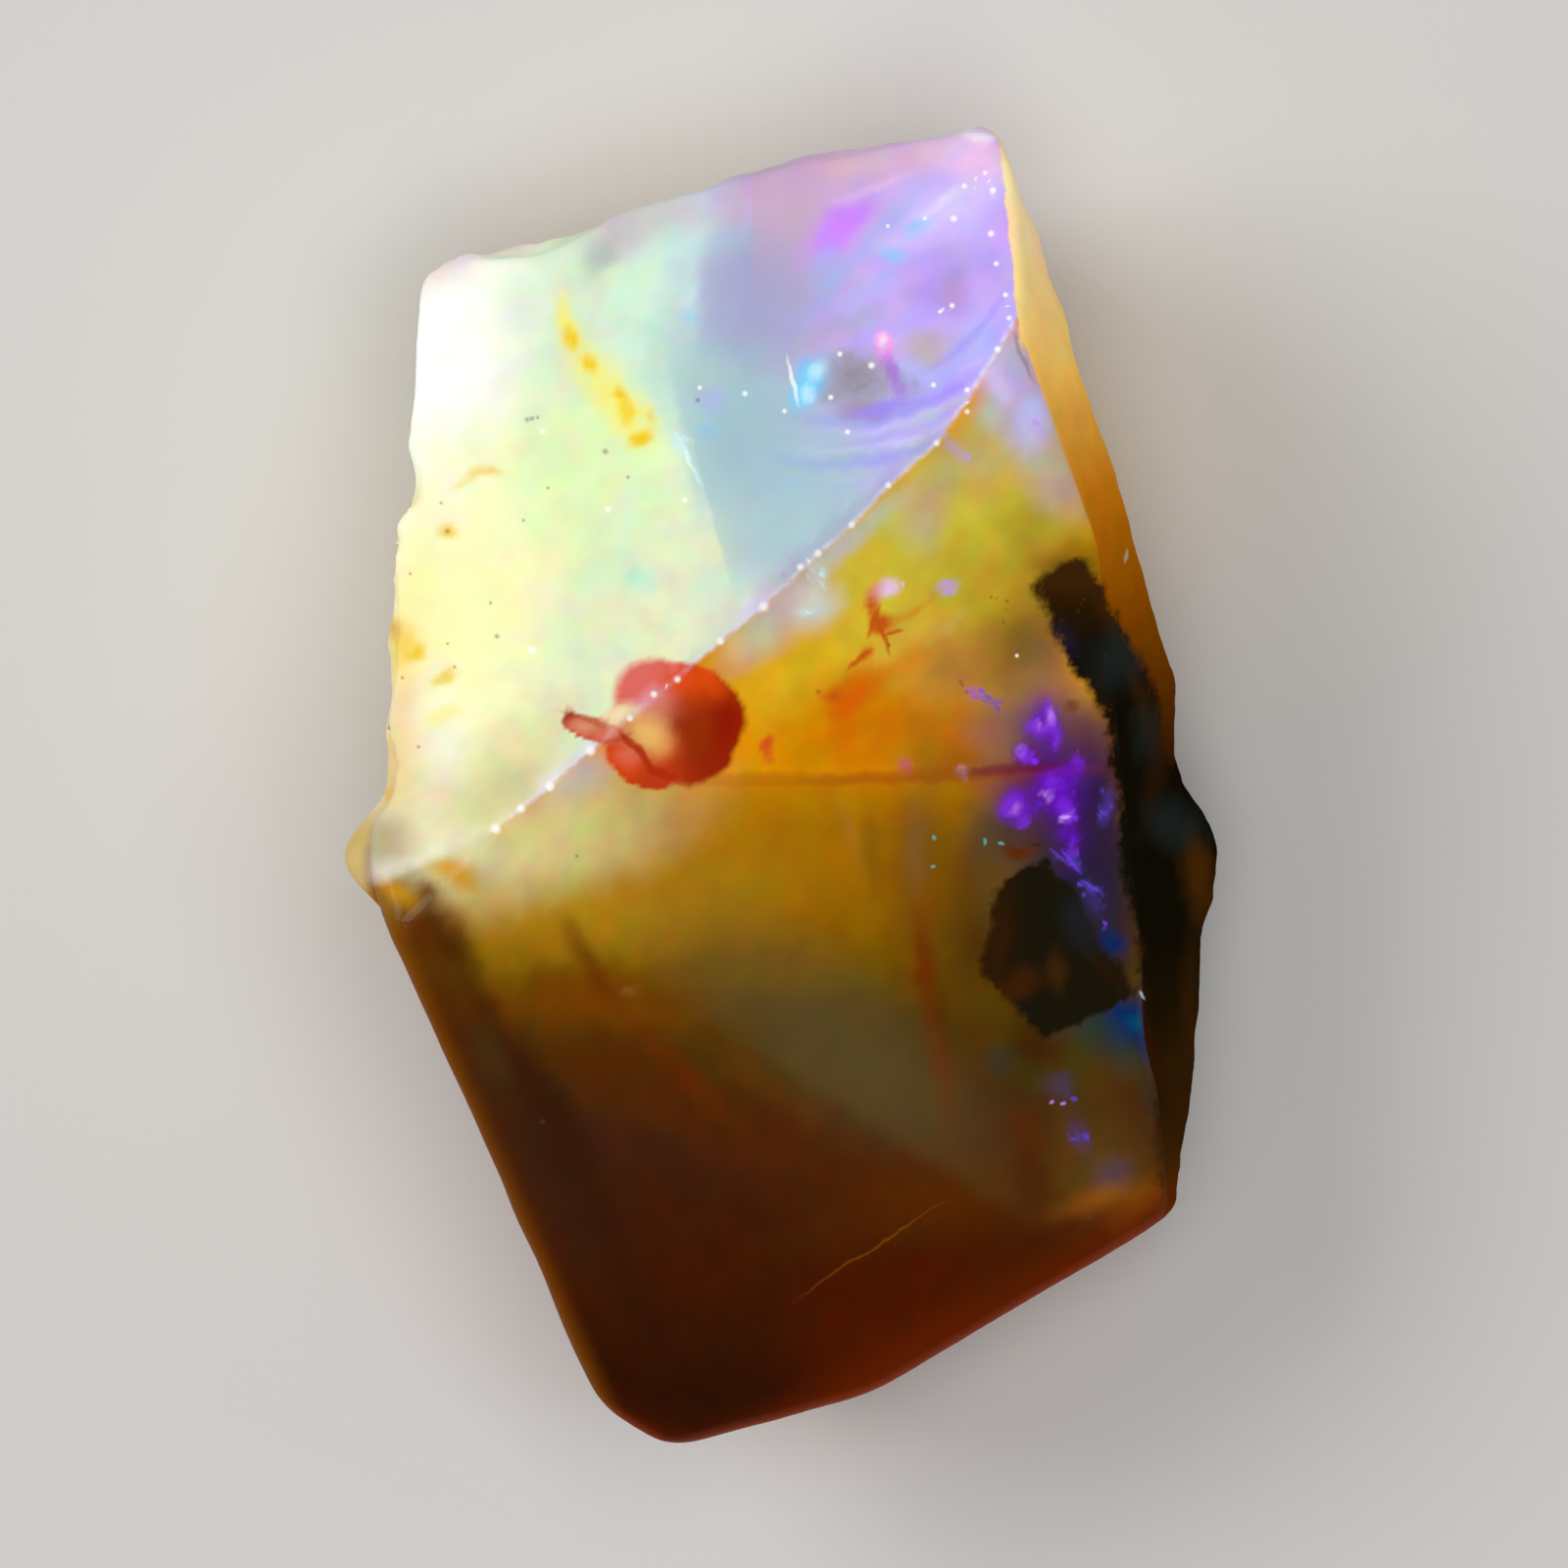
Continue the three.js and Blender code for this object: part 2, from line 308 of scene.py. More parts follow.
for middle, pull, reach in LUMPS:
    nearest = int(np.argmin(np.linalg.norm(points_of(stone) - middle, axis=1)))
    bpy.ops.object.mode_set(mode="EDIT")
    bpy.ops.mesh.select_mode(type="VERT")
    bpy.ops.mesh.select_all(action="DESELECT")
    bpy.ops.object.mode_set(mode="OBJECT")
    stone.data.vertices[nearest].select = True
    bpy.ops.object.mode_set(mode="EDIT")
    bpy.ops.transform.translate(
        value=pull,
        use_proportional_edit=True,
        proportional_edit_falloff="SMOOTH",
        proportional_size=reach,
    )
    bpy.ops.object.mode_set(mode="OBJECT")
print(len(LUMPS), "lumps raised")

# %% [markdown]
# Each kind of face has a relief of its own. A broken wall swells and is hackled, a sawn one is nearly
# flat, the smooth top faces only wave a little, and the skin of old rock is pitted. Which kind a
# point belongs to follows from how far it lies out of each face: the face that it lies furthest out
# of is the one that it is on. A soft maximum makes the kinds run into each other over an edge.

# %% Which face a point is on
EDGE_SOFTNESS = 0.18
SHARE_STEPS = 40


def shares_of(places):
    """For each named face, the share that it has in each point, from 0 to 1."""
    faces = TOPS + WALLS
    out_of = np.stack([(places - np.array(one["point"])) @ np.array(one["normal"]) for one in faces])
    pull = np.exp((out_of - out_of.max(axis=0)) / EDGE_SOFTNESS)
    return pull / pull.sum(axis=0)


shares = shares_of(points_of(stone))
kinds = {kind: np.zeros(shares.shape[1]) for kind in ("smooth", "skin", "broken", "sawn")}
for one, share in zip(TOPS + WALLS, shares):
    kinds[one["kind"]] += share
for kind, amounts in kinds.items():
    group = stone.vertex_groups.new(name=kind)
    for step in range(1, SHARE_STEPS + 1):
        here = np.flatnonzero(np.rint(amounts * SHARE_STEPS) == step)
        group.add(here.tolist(), step / SHARE_STEPS, "REPLACE")
    print(kind, "covers", round(100 * amounts.mean()), "% of the stone")

# %% [markdown]
# Displace moves points along their normals by a texture. Clouds give the long swell of a broken face,
# a Voronoi texture gives hackles and pits, and wood's straight bands would give saw marks. The
# strengths are in millimetres, and a vertex group keeps each relief to its own kind of face.

# %% The relief of the faces


def relief(kind, name, texture_type, size, strength, middle=0.5, **settings):
    texture = bpy.data.textures.new(name, texture_type)
    texture.noise_scale = size
    for setting, value in settings.items():
        setattr(texture, setting, value)
    displace = stone.modifiers.new(name, "DISPLACE")
    displace.texture = texture
    displace.texture_coords = "LOCAL"
    displace.strength = strength
    displace.mid_level = middle
    displace.vertex_group = kind
    bpy.ops.object.modifier_apply(modifier=displace.name)


relief("broken", "swell", "CLOUDS", 2.6, 0.6, middle=0.78, noise_depth=1)
relief("broken", "steps", "VORONOI", 1.5, 0.2, distance_metric="DISTANCE", weight_1=-1, weight_2=1)
relief("broken", "hackle", "CLOUDS", 0.45, 0.14, noise_depth=2)
relief("sawn", "sway", "CLOUDS", 2.4, 0.14, middle=0.6, noise_depth=1)
relief("smooth", "lap", "CLOUDS", 2.2, 0.1, noise_depth=1)
relief("skin", "crust", "CLOUDS", 0.7, 0.16, middle=0.7, noise_depth=3)
relief("skin", "pits", "VORONOI", 0.45, 0.06, distance_metric="DISTANCE")

rubbed(1)

# %% [markdown]
# The back is sawn off last, so that it is truly flat. Then the stone is put with its middle over the
# origin and shrunk to its real size: its place and size are in its mesh, and its object stays at the
# origin, unturned and unscaled.

# %% The flat back and the real size
MM = 0.001

bpy.ops.object.mode_set(mode="EDIT")
cut_beyond(Vector((0, 0, 0)), Vector((0, 0, -1)))
bpy.ops.object.mode_set(mode="OBJECT")
places = points_of(stone)
middle = (places.min(axis=0) + places.max(axis=0)) / 2
SHIFT = Vector((-middle[0], -middle[1], 0))
bpy.ops.object.mode_set(mode="EDIT")
bpy.ops.mesh.select_all(action="SELECT")
bpy.ops.transform.translate(value=SHIFT)
bpy.ops.transform.resize(value=(MM, MM, MM), center_override=(0, 0, 0))
bpy.ops.object.mode_set(mode="OBJECT")
bpy.ops.object.shade_smooth()
sizes = 1000 * (points_of(stone).max(axis=0) - points_of(stone).min(axis=0))
print("the stone measures", sizes.round(2), "mm, and was moved by", [round(a, 3) for a in SHIFT])

# %% Handing it to the frame
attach(stone, "root")
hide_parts("rough_fire_opal")

# %% [markdown]
# The finish is the larger half of this stone. Fire opal is a milky, glassy solid whose colour lies
# inside it: it runs from white through mint, yellow and amber to a dark red brown, with clouds, bands,
# stains and a red inclusion, and with flashes of spectral colour where layers of tiny spheres split
# the light. Some light and shade is painted in as well: the white end is partly a painted highlight, the
# dark end is partly painted shade, and the rims, the glints and a weak glow are painted light.
# The colours are named first, as a painter lays out a palette. They are written as display values
# from 0 to 255, and a shader counts light evenly, so each one is converted.

# %% The palette
PALETTE = {
    "white": (255, 255, 250),
    "blush": (240, 216, 216),
    "mint white": (236, 243, 224),
    "cream": (250, 249, 206),
    "cream yellow": (249, 248, 184),
    "butter": (250, 240, 162),
    "apricot": (248, 222, 124),
    "sand": (228, 202, 132),
    "straw": (218, 212, 150),
    "grey sage": (172, 156, 112),
    "pale green": (223, 241, 181),
    "sage mint": (208, 230, 198),
    "pale mint": (208, 238, 213),
    "mint": (166, 228, 208),
    "pearl": (224, 229, 192),
    "grey violet": (194, 185, 194),
    "cool grey": (202, 207, 216),
    "pale blue": (191, 212, 219),
    "green grey": (178, 207, 197),
    "blue grey": (165, 194, 194),
    "ice grey": (182, 208, 210),
    "lavender": (168, 172, 204),
    "rose grey": (199, 180, 184),
    "orchid": (207, 167, 209),
    "mauve": (204, 168, 206),
    "deep mauve": (168, 138, 198),
    "dull mauve": (138, 128, 148),
    "soft violet": (187, 171, 212),
    "bright violet": (198, 170, 246),
    "pale violet": (214, 198, 251),
    "blue lilac": (184, 188, 222),
    "dusty pink": (216, 176, 194),
    "pale pink": (235, 197, 232),
    "ice blue": (177, 196, 214),
    "periwinkle": (178, 174, 245),
    "smoke": (160, 150, 165),
    "lemon": (252, 236, 70),
    "gold": (236, 196, 10),
    "honey": (222, 172, 60),
    "warm grey": (186, 170, 152),
    "pearl grey": (187, 186, 191),
    "khaki": (190, 172, 120),
    "moss yellow": (192, 187, 108),
    "olive yellow": (182, 160, 38),
    "dull gold": (170, 140, 40),
    "pale khaki": (199, 198, 165),
    "mustard": (210, 188, 56),
    "yellow": (222, 178, 30),
    "amber": (218, 144, 2),
    "orange": (206, 122, 3),
    "tan": (176, 124, 54),
    "mauve brown": (146, 103, 82),
    "brown": (118, 76, 34),
    "copper": (160, 92, 16),
    "dark honey": (188, 140, 26),
    "amber olive": (176, 117, 3),
    "dull bronze": (156, 107, 6),
    "bronze": (122, 72, 4),
    "olive": (124, 88, 6),
    "copper brown": (112, 62, 6),
    "umber": (76, 46, 8),
    "haze": (86, 67, 31),
    "olive brown": (84, 59, 14),
    "ochre brown": (92, 62, 18),
    "amber brown": (119, 61, 2),
    "rust brown": (96, 42, 2),
    "dark copper": (76, 34, 4),
    "chestnut": (84, 36, 3),
    "dark umber": (55, 29, 16),
    "purple brown": (68, 37, 22),
    "ember": (68, 30, 8),
    "dark red": (77, 22, 0),
    "deep rust": (88, 40, 1),
    "black brown": (50, 23, 10),
    "plum brown": (96, 54, 64),
    "plum": (72, 28, 78),
    "dark plum": (48, 30, 56),
    "slate": (46, 36, 46),
    "indigo": (66, 46, 112),
    "deep teal": (18, 44, 52),
    "soot": (31, 22, 8),
    "soft orange": (255, 200, 100),
    "pale honey": (255, 226, 170),
    "old rock": (25, 22, 13),
    "blue black": (30, 36, 42),
    "dark olive": (56, 42, 11),
    "brown black": (44, 30, 10),
    "dark brown": (54, 20, 4),
    "rust": (104, 40, 2),
    "moss": (70, 56, 20),
    "clay grey": (120, 98, 80),
    "red line": (150, 44, 16),
    "crimson": (96, 8, 50),
    "dark mauve": (112, 72, 98),
    "dark rust": (84, 38, 2),
    "slate mauve": (64, 50, 76),
    "deep blue": (0, 40, 104),
    "sea green": (14, 76, 62),
    "violet": (140, 44, 255),
    "deep violet": (108, 20, 204),
    "violet pink": (206, 132, 255),
    "blue violet": (92, 70, 200),
    "pink white": (244, 206, 255),
    "bright pink": (255, 150, 232),
    "purple": (164, 120, 214),
    "lilac": (196, 156, 236),
    "cyan": (120, 204, 252),
    "ice": (204, 240, 255),
    "teal": (96, 196, 192),
    "brick": (214, 74, 30),
    "burnt orange": (214, 108, 2),
    "red": (172, 46, 20),
    "salmon": (224, 110, 92),
    "burnt red": (140, 26, 4),
    "scarlet": (222, 82, 32),
    "peach core": (234, 168, 110),
    "milk": (232, 222, 190),
    "wax": (214, 180, 112),
    # The next four are mostly used for painted light: glow at the rims and a highlight on the ridge.
    "ember glow": (150, 50, 2),
    "bottom glow": (122, 40, 0),
    "crushed ridge and highlight": (226, 222, 236),
    "rim orange": (138, 76, 4),
    "rose block": (196, 166, 190),
    "lavender block": (160, 160, 200),
    "blue block": (158, 192, 202),
    "arc blue": (150, 140, 248),
    "streak blue": (168, 176, 238),
    "streak violet": (186, 158, 246),
    "haze light": (122, 108, 76),
    "haze sheet": (96, 82, 44),
    "amber shade": (150, 98, 4),
    "blotch": (26, 21, 8),
    "bowl grey": (160, 158, 160),
    "crimson haze": (92, 24, 60),
    "dark teal": (34, 60, 52),
    "blue light": (4, 84, 120),
    "violet flash": (206, 136, 255),
    "dark slate": (42, 38, 46),
    "core pink": (214, 130, 104),
    "pale notch": (234, 214, 170),
    "bright cyan": (104, 206, 250),
    "violet shade": (38, 28, 54),
    "violet glow": (78, 18, 140),
    "rose brown": (62, 40, 46),
    "moss green": (56, 58, 10),
    "dusk violet": (80, 58, 84),
    "core brown": (150, 46, 6),
    "dark gold": (206, 152, 4),
    "pale salmon": (214, 150, 116),
    "light amber": (236, 172, 72),
    "warm amber": (200, 120, 26),
    "ice lilac": (190, 200, 248),
    "hook red": (178, 44, 10),
    "dendrite": (200, 80, 16),
    "magenta": (196, 84, 120),
    "dark moss": (66, 60, 6),
    "dark khaki": (106, 82, 30),
    "burnt umber": (44, 24, 4),
    "skin red": (64, 22, 8),
    "skin orange": (78, 44, 6),
    "pale moss": (196, 188, 128),
    "bright moss": (206, 190, 50),
    "dull honey": (184, 112, 14),
    "olive tan": (118, 90, 36),
    "khaki brown": (186, 156, 78),
    "violet haze": (80, 28, 92),
    "inclusion red": (192, 58, 22),
    "inclusion dark": (146, 24, 2),
    "inclusion pink": (216, 104, 96),
    "core light": (240, 190, 108),
    "core orange": (228, 122, 58),
    "orange red": (232, 80, 14),
    "pit brown": (96, 66, 30),
    "skin teal": (30, 38, 36),
    "skin rust": (60, 34, 8),
}


def tint(name):
    """A colour of the palette as a shader counts it: red, green, blue, and 1 for opaque."""
    values = [value / 255 for value in PALETTE[name]]
    return [v / 12.92 if v <= 0.04045 else ((v + 0.055) / 1.055) ** 2.4 for v in values] + [1]


print(len(PALETTE), "colours on the palette")


# %% [markdown]
# Most of the colour is soft, so it is painted on the points of the mesh, a seventh of a millimetre
# from each other. It is worked out once with numpy, for all points together, and the material only
# reads it. The material sharpens the borders that are crisp, and adds what is finer than that.
# The points are looked at in the plan, in millimetres, and noise pushes them about a little first, or
# all that is painted would look as if it came from an airbrush. A colour in the plan goes straight
# down through the stone, as it does in a stone that is coloured right through.

# %% Points of the plan
points = points_of(stone) / MM


def wander(size, octaves):
    """Three smooth random numbers round 0 for each point, which change over about this size."""
    places = (Vector(point) / size for point in points)
    return np.array([noise.turbulence_vector(place, octaves, False) for place in places])


plan = points[:, :2] + 0.1 * wander(0.5, 3)[:, :2]
drifting = plan + 0.2 * wander(2.6, 4)[:, :2]

# %% [markdown]
# Painting is done in three ways. A base changes evenly from colour to colour across a face, as the
# stone does from its milky end to its brown one. Ovals are laid over it for the clouds, streaks and
# spots, each with the middle, the half length and half width, the angle of the length from +X, how
# soft the edge is and how strong the colour is. And a band runs between two borders, each of them the
# x that it has at several heights of the plan.
# A painting has four numbers a point: red, green, blue, and how much it covers.

# %% Ways to paint
def step(values, low, high):
    """Rises smoothly from 0 at low to 1 at high."""
    share = np.clip((values - low) / (high - low), 0, 1)
    return share * share * (3 - 2 * share)


def paint_over(painting, name, amount):
    """Lays a colour over a painting, as thickly as the amount says at each point."""
    return painting + (np.array(tint(name)) - painting) * amount[:, None]


def opaque(shown):
    """A painting that covers all, from colours as a screen shows them."""
    return np.column_stack((shown ** 2.2, np.ones(len(points))))


def graded(start, end, *stops):
    """A base that changes evenly from stop to stop, each at its share of the way from start to end."""
    way = np.subtract(end, start)
    share = (drifting - start) @ way / (way @ way)
    shares, names = zip(*stops)
    channels = np.array([PALETTE[name] for name in names]).T / 255
    return opaque(np.column_stack([np.interp(share, shares, channel) for channel in channels]))


def within(places, middle, size, turn, soft=0.5, strength=1):
    """How much an oval covers each place: the strength well inside it, 0 outside."""
    x, y = (places - middle).T
    cos, sin = math.cos(math.radians(turn)), math.sin(math.radians(turn))
    out = np.hypot((x * cos + y * sin) / size[0], (y * cos - x * sin) / size[1])
    return strength * step(out, 1 + soft, 1 - soft)


def with_ovals(painting, ovals, places):
    for name, *oval in ovals:
        painting = paint_over(painting, name, within(places, *oval))
    return painting


def between(left, right, soft):
    """How much a band covers each point. Its borders run through points (y, x) of the plan."""
    x, y = plan.T
    from_left = x - np.interp(y, *zip(*left))
    from_right = np.interp(y, *zip(*right)) - x
    return step(np.minimum(from_left, from_right), -soft, soft)


def keep(name, painting):
    """Keeps a painting in the mesh, as an attribute that the material can read."""
    attribute = stone.data.attributes.new(name, "FLOAT_COLOR", "POINT")
    attribute.data.foreach_set("color", painting.ravel())
    print("painted", name, "on", len(painting), "points")


CLEAR = np.zeros((len(points), 4))

# %% [markdown]
# The upper face is the milky end of the stone: white on the left, mint and blue grey in the middle and
# violet on the right, and creamy along its left rim. There, the layers that split the light bend in
# arcs round the top edge. The white at its left end is partly a painted highlight, as if a strong lamp
# at the upper left washed it out.

# %% Clouds of the upper face
# The white left end is partly a painted highlight.
upper_base = graded(
    (-7, 8), (4, 8),
    (0.02, "white"), (0.14, "mint white"), (0.26, "sage mint"), (0.38, "pale mint"),
    (0.5, "pale blue"), (0.58, "lavender"), (0.7, "soft violet"), (0.85, "bright violet"),
)

UPPER_CLOUDS = [
    # The creamy rim on the left, and the pale green that leads from it to the ridge
    ("cream", (-6.2, 5.6), (1.7, 1.5), -20, 0.7, 0.9),
    ("pale green", (-3.7, 5.8), (2, 2), 0, 0.6, 0.85),
    ("cream yellow", (-5.9, 3), (1.7, 2.4), 0, 0.6, 0.95),
    ("pearl", (-2.6, 3.2), (3.1, 1.5), 40, 0.5, 0.95),
    ("butter", (-7.3, 3.6), (0.6, 1.4), 0, 0.8, 0.8),
    ("apricot", (-7.6, 2.3), (0.35, 0.9), 0, 0.8, 0.7),
    ("sand", (-7.6, 0.4), (0.7, 1.3), 0, 0.8, 0.9),
    ("straw", (-5.9, -0.1), (1.9, 0.9), 40, 0.8, 0.9),
    ("grey sage", (-8, -1.2), (0.7, 0.6), 0, 0.8, 0.9),
    # The corners and the rim at the top
    ("blush", (-7, 10.4), (0.8, 0.7), 20, 0.8, 0.9),
    ("grey violet", (-2.9, 11.2), (1, 0.5), 20, 0.8, 0.8),
    ("orchid", (0.4, 11.9), (1.7, 0.6), 10, 0.8, 0.9),
    ("dusty pink", (2.3, 12.4), (1.3, 0.35), 10, 0.8, 0.8),
    ("pale pink", (3.8, 12.4), (0.8, 0.5), 0, 0.8, 0.8),
    ("pale violet", (3.1, 11.3), (1.2, 0.5), 25, 0.8, 0.6),
    # Grey, blue and lilac between the middle and the ridge
    ("green grey", (-1.8, 8.3), (0.7, 0.9), 0, 0.8, 0.7),
    ("blue grey", (-0.8, 6.9), (0.9, 1.5), 0, 0.8, 0.8),
    ("ice blue", (0.6, 6.2), (1.3, 1.3), 30, 0.8, 0.8),
    ("ice grey", (0, 4.9), (1.4, 0.6), 43, 0.8, 0.8),
    ("blue lilac", (1.9, 7.4), (1.8, 0.9), 40, 0.8, 0.7),
    ("periwinkle", (3, 7.8), (1.5, 0.5), 50, 0.8, 0.8),
]

UPPER_PATCHES = [
    ("mauve", (0.1, 11.5), (0.78, 0.62), 20, 0.25, 0.5),
    ("deep mauve", (3.3, 9.9), (0.97, 0.62), 6, 0.45, 0.6),
    ("smoke", (-3.58, 10.47), (0.47, 0.25), 55, 0.7, 0.4),
    ("smoke", (-1.02, 6.55), (0.33, 0.43), 0, 0.8, 0.3),
    ("mint", (-3.1, 4.5), (0.58, 0.78), 15, 0.9, 0.15),
    # Streaks of blue and violet, and paler places
    ("streak blue", (0.8, 9.7), (1.07, 0.16), 50, 0.8, 0.75),
    ("streak blue", (2, 11), (0.81, 0.16), 47, 0.8, 0.75),
    ("streak blue", (1.8, 9.8), (1.07, 0.16), 28, 0.8, 0.65),
    ("streak violet", (2, 8.9), (1.16, 0.16), 22, 0.8, 0.5),
    ("pale violet", (3, 11.1), (0.78, 0.12), 30, 0.8, 0.6),
    ("white", (3.15, 11.49), (0.43, 0.1), 34, 0.9, 0.3),
    ("pale violet", (3.6, 11.59), (0.47, 0.1), 50, 0.8, 0.6),
    ("streak violet", (3.7, 10.39), (0.58, 0.1), 10, 0.8, 0.6),
    ("pale pink", (1.6, 11.7), (0.7, 0.1), 20, 0.8, 0.5),
    ("dusty pink", (1.2, 12.2), (0.66, 0.16), 14, 0.8, 0.5),
    ("warm grey", (2.82, 8.57), (0.39, 0.33), 0, 0.8, 0.7),
    ("pale mint", (-3.1, 5), (0.19, 0.78), -10, 0.9, 0.5),
    # A painted highlight on the white end
    ("white", (-6.4, 8.7), (0.5, 1.16), 0, 0.9, 0.5),
    # Soft flashes
    ("violet flash", (1, 10.9), (0.78, 0.37), 42, 0.8, 1),
    ("violet flash", (1.13, 10.97), (0.47, 0.23), 42, 0.8, 0.9),
    ("streak blue", (0.75, 10.27), (0.47, 0.23), 50, 0.8, 0.6),
    ("bright violet", (1.9, 9.7), (1.36, 0.19), 24, 0.9, 0.6),
    ("lavender", (1.4, 9.2), (0.66, 0.23), 14, 0.8, 0.5),
    ("periwinkle", (-1.43, 7.5), (0.27, 0.27), 0, 0.8, 0.9),
    ("cyan", (-1.5, 6.94), (0.25, 0.17), 0, 0.8, 0.8),
    ("cyan", (2.14, 10.45), (0.25, 0.14), -20, 0.8, 0.7),
    ("cyan", (2.65, 10.97), (0.31, 0.16), 30, 0.8, 0.6),
    ("cyan", (-1.85, 9.22), (0.19, 0.16), 0, 0.8, 0.5),
    ("grey sage", (-5.4, -0.1), (0.78, 0.35), 38, 0.9, 0.3),
    ("pale green", (-4.4, 6.5), (0.5, 0.66), 0, 0.9, 0.6),
    ("mint white", (-6.7, 1.1), (0.58, 0.89), 0, 0.9, 0.35),
    ("pale violet", (3.81, 8.02), (0.31, 0.27), 0, 0.9, 0.5),
    # A painted glint on the top right corner
    ("white", (3.85, 12.83), (0.35, 0.1), -4, 0.9, 0.6),
    ("mint", (-2.86, 4.03), (0.23, 0.23), 0, 0.8, 0.6),
    ("soft violet", (-5.03, -0.92), (0.27, 0.14), 40, 0.8, 0.5),
    ("bright violet", (3.9, 9.7), (0.27, 0.78), 10, 0.9, 0.7),
    ("pale violet", (4.12, 8.25), (0.23, 0.5), 24, 0.8, 0.9),
    ("streak blue", (4.01, 8.68), (0.23, 0.47), 20, 0.8, 0.6),
    # The white ovals along the ridge are partly the crushed edge and partly painted highlights
    ("crushed ridge and highlight", (-0.77, 3.21), (0.43, 0.16), 43, 0.9, 0.6),
    ("pale violet", (-0.46, 3.56), (0.39, 0.21), 43, 0.8, 0.5),
    ("pale violet", (-4.03, 0.42), (0.5, 0.17), 43, 0.9, 0.35),
    ("green grey", (2.63, 6.74), (0.47, 0.33), 30, 0.9, 0.45),
    ("crushed ridge and highlight", (-3.79, 0.69), (0.27, 0.17), 43, 0.9, 0.7),
    ("crushed ridge and highlight", (-4.61, -0.01), (0.27, 0.17), 43, 0.9, 0.7),
]

ARC_CENTRE = (0.98, 11.6)
ARCS = [
    # A colour, the radius and half width of the ring, and the zone that it is kept to
    ("pale violet", 4.68, 0.1, (2.1, 6.9), (1.94, 0.97), 20, 0.8, 0.8),
    ("streak blue", 4.2, 0.1, (2.9, 7.9), (1.75, 0.97), 30, 0.8, 0.7),
    ("pale violet", 5.05, 0.08, (1.8, 6.5), (1.75, 0.97), 15, 0.8, 0.6),
    ("ice blue", 3.6, 0.12, (1.6, 8.7), (1.16, 0.78), 20, 0.8, 0.5),
    ("arc blue", 4.5, 0.26, (2.4, 7.5), (2.13, 1.16), 20, 0.7, 0.62),
    ("arc blue", 5.3, 0.2, (1.2, 6.3), (1.75, 0.78), 8, 0.7, 0.6),
    ("streak violet", 4.9, 0.12, (2.5, 7.1), (2.13, 1.16), 20, 0.7, 0.45),
    ("arc blue", 3.9, 0.14, (3.9, 8.9), (1.16, 1.16), 40, 0.7, 0.5),
    ("streak blue", 5.75, 0.12, (1, 5.8), (1.55, 0.78), 0, 0.8, 0.35),
    ("streak violet", 2.7, 0.16, (3.1, 9.1), (1.16, 1.16), 40, 0.7, 0.4),
    ("ice blue", 4.75, 0.14, (3, 7.5), (0.78, 0.58), 36, 0.8, 0.8),
]

# %% [markdown]
# The lower face is pale along the ridge, yellow and orange below it, and a dark red brown at the far
# end, which is partly painted shade. Brown bands run down its left side, and on its right the stone is
# violet and nearly black.

# %% Clouds of the lower face
# Darker towards the far end: the stone's own dark brown, deepened by painted shade
lower_base = graded(
    (0, 2), (0, -12.5),
    (0, "amber"), (0.12, "amber"), (0.2, "amber olive"), (0.29, "dull bronze"), (0.37, "olive"),
    (0.47, "olive brown"), (0.62, "purple brown"), (0.8, "ember"), (0.97, "black brown"),
)

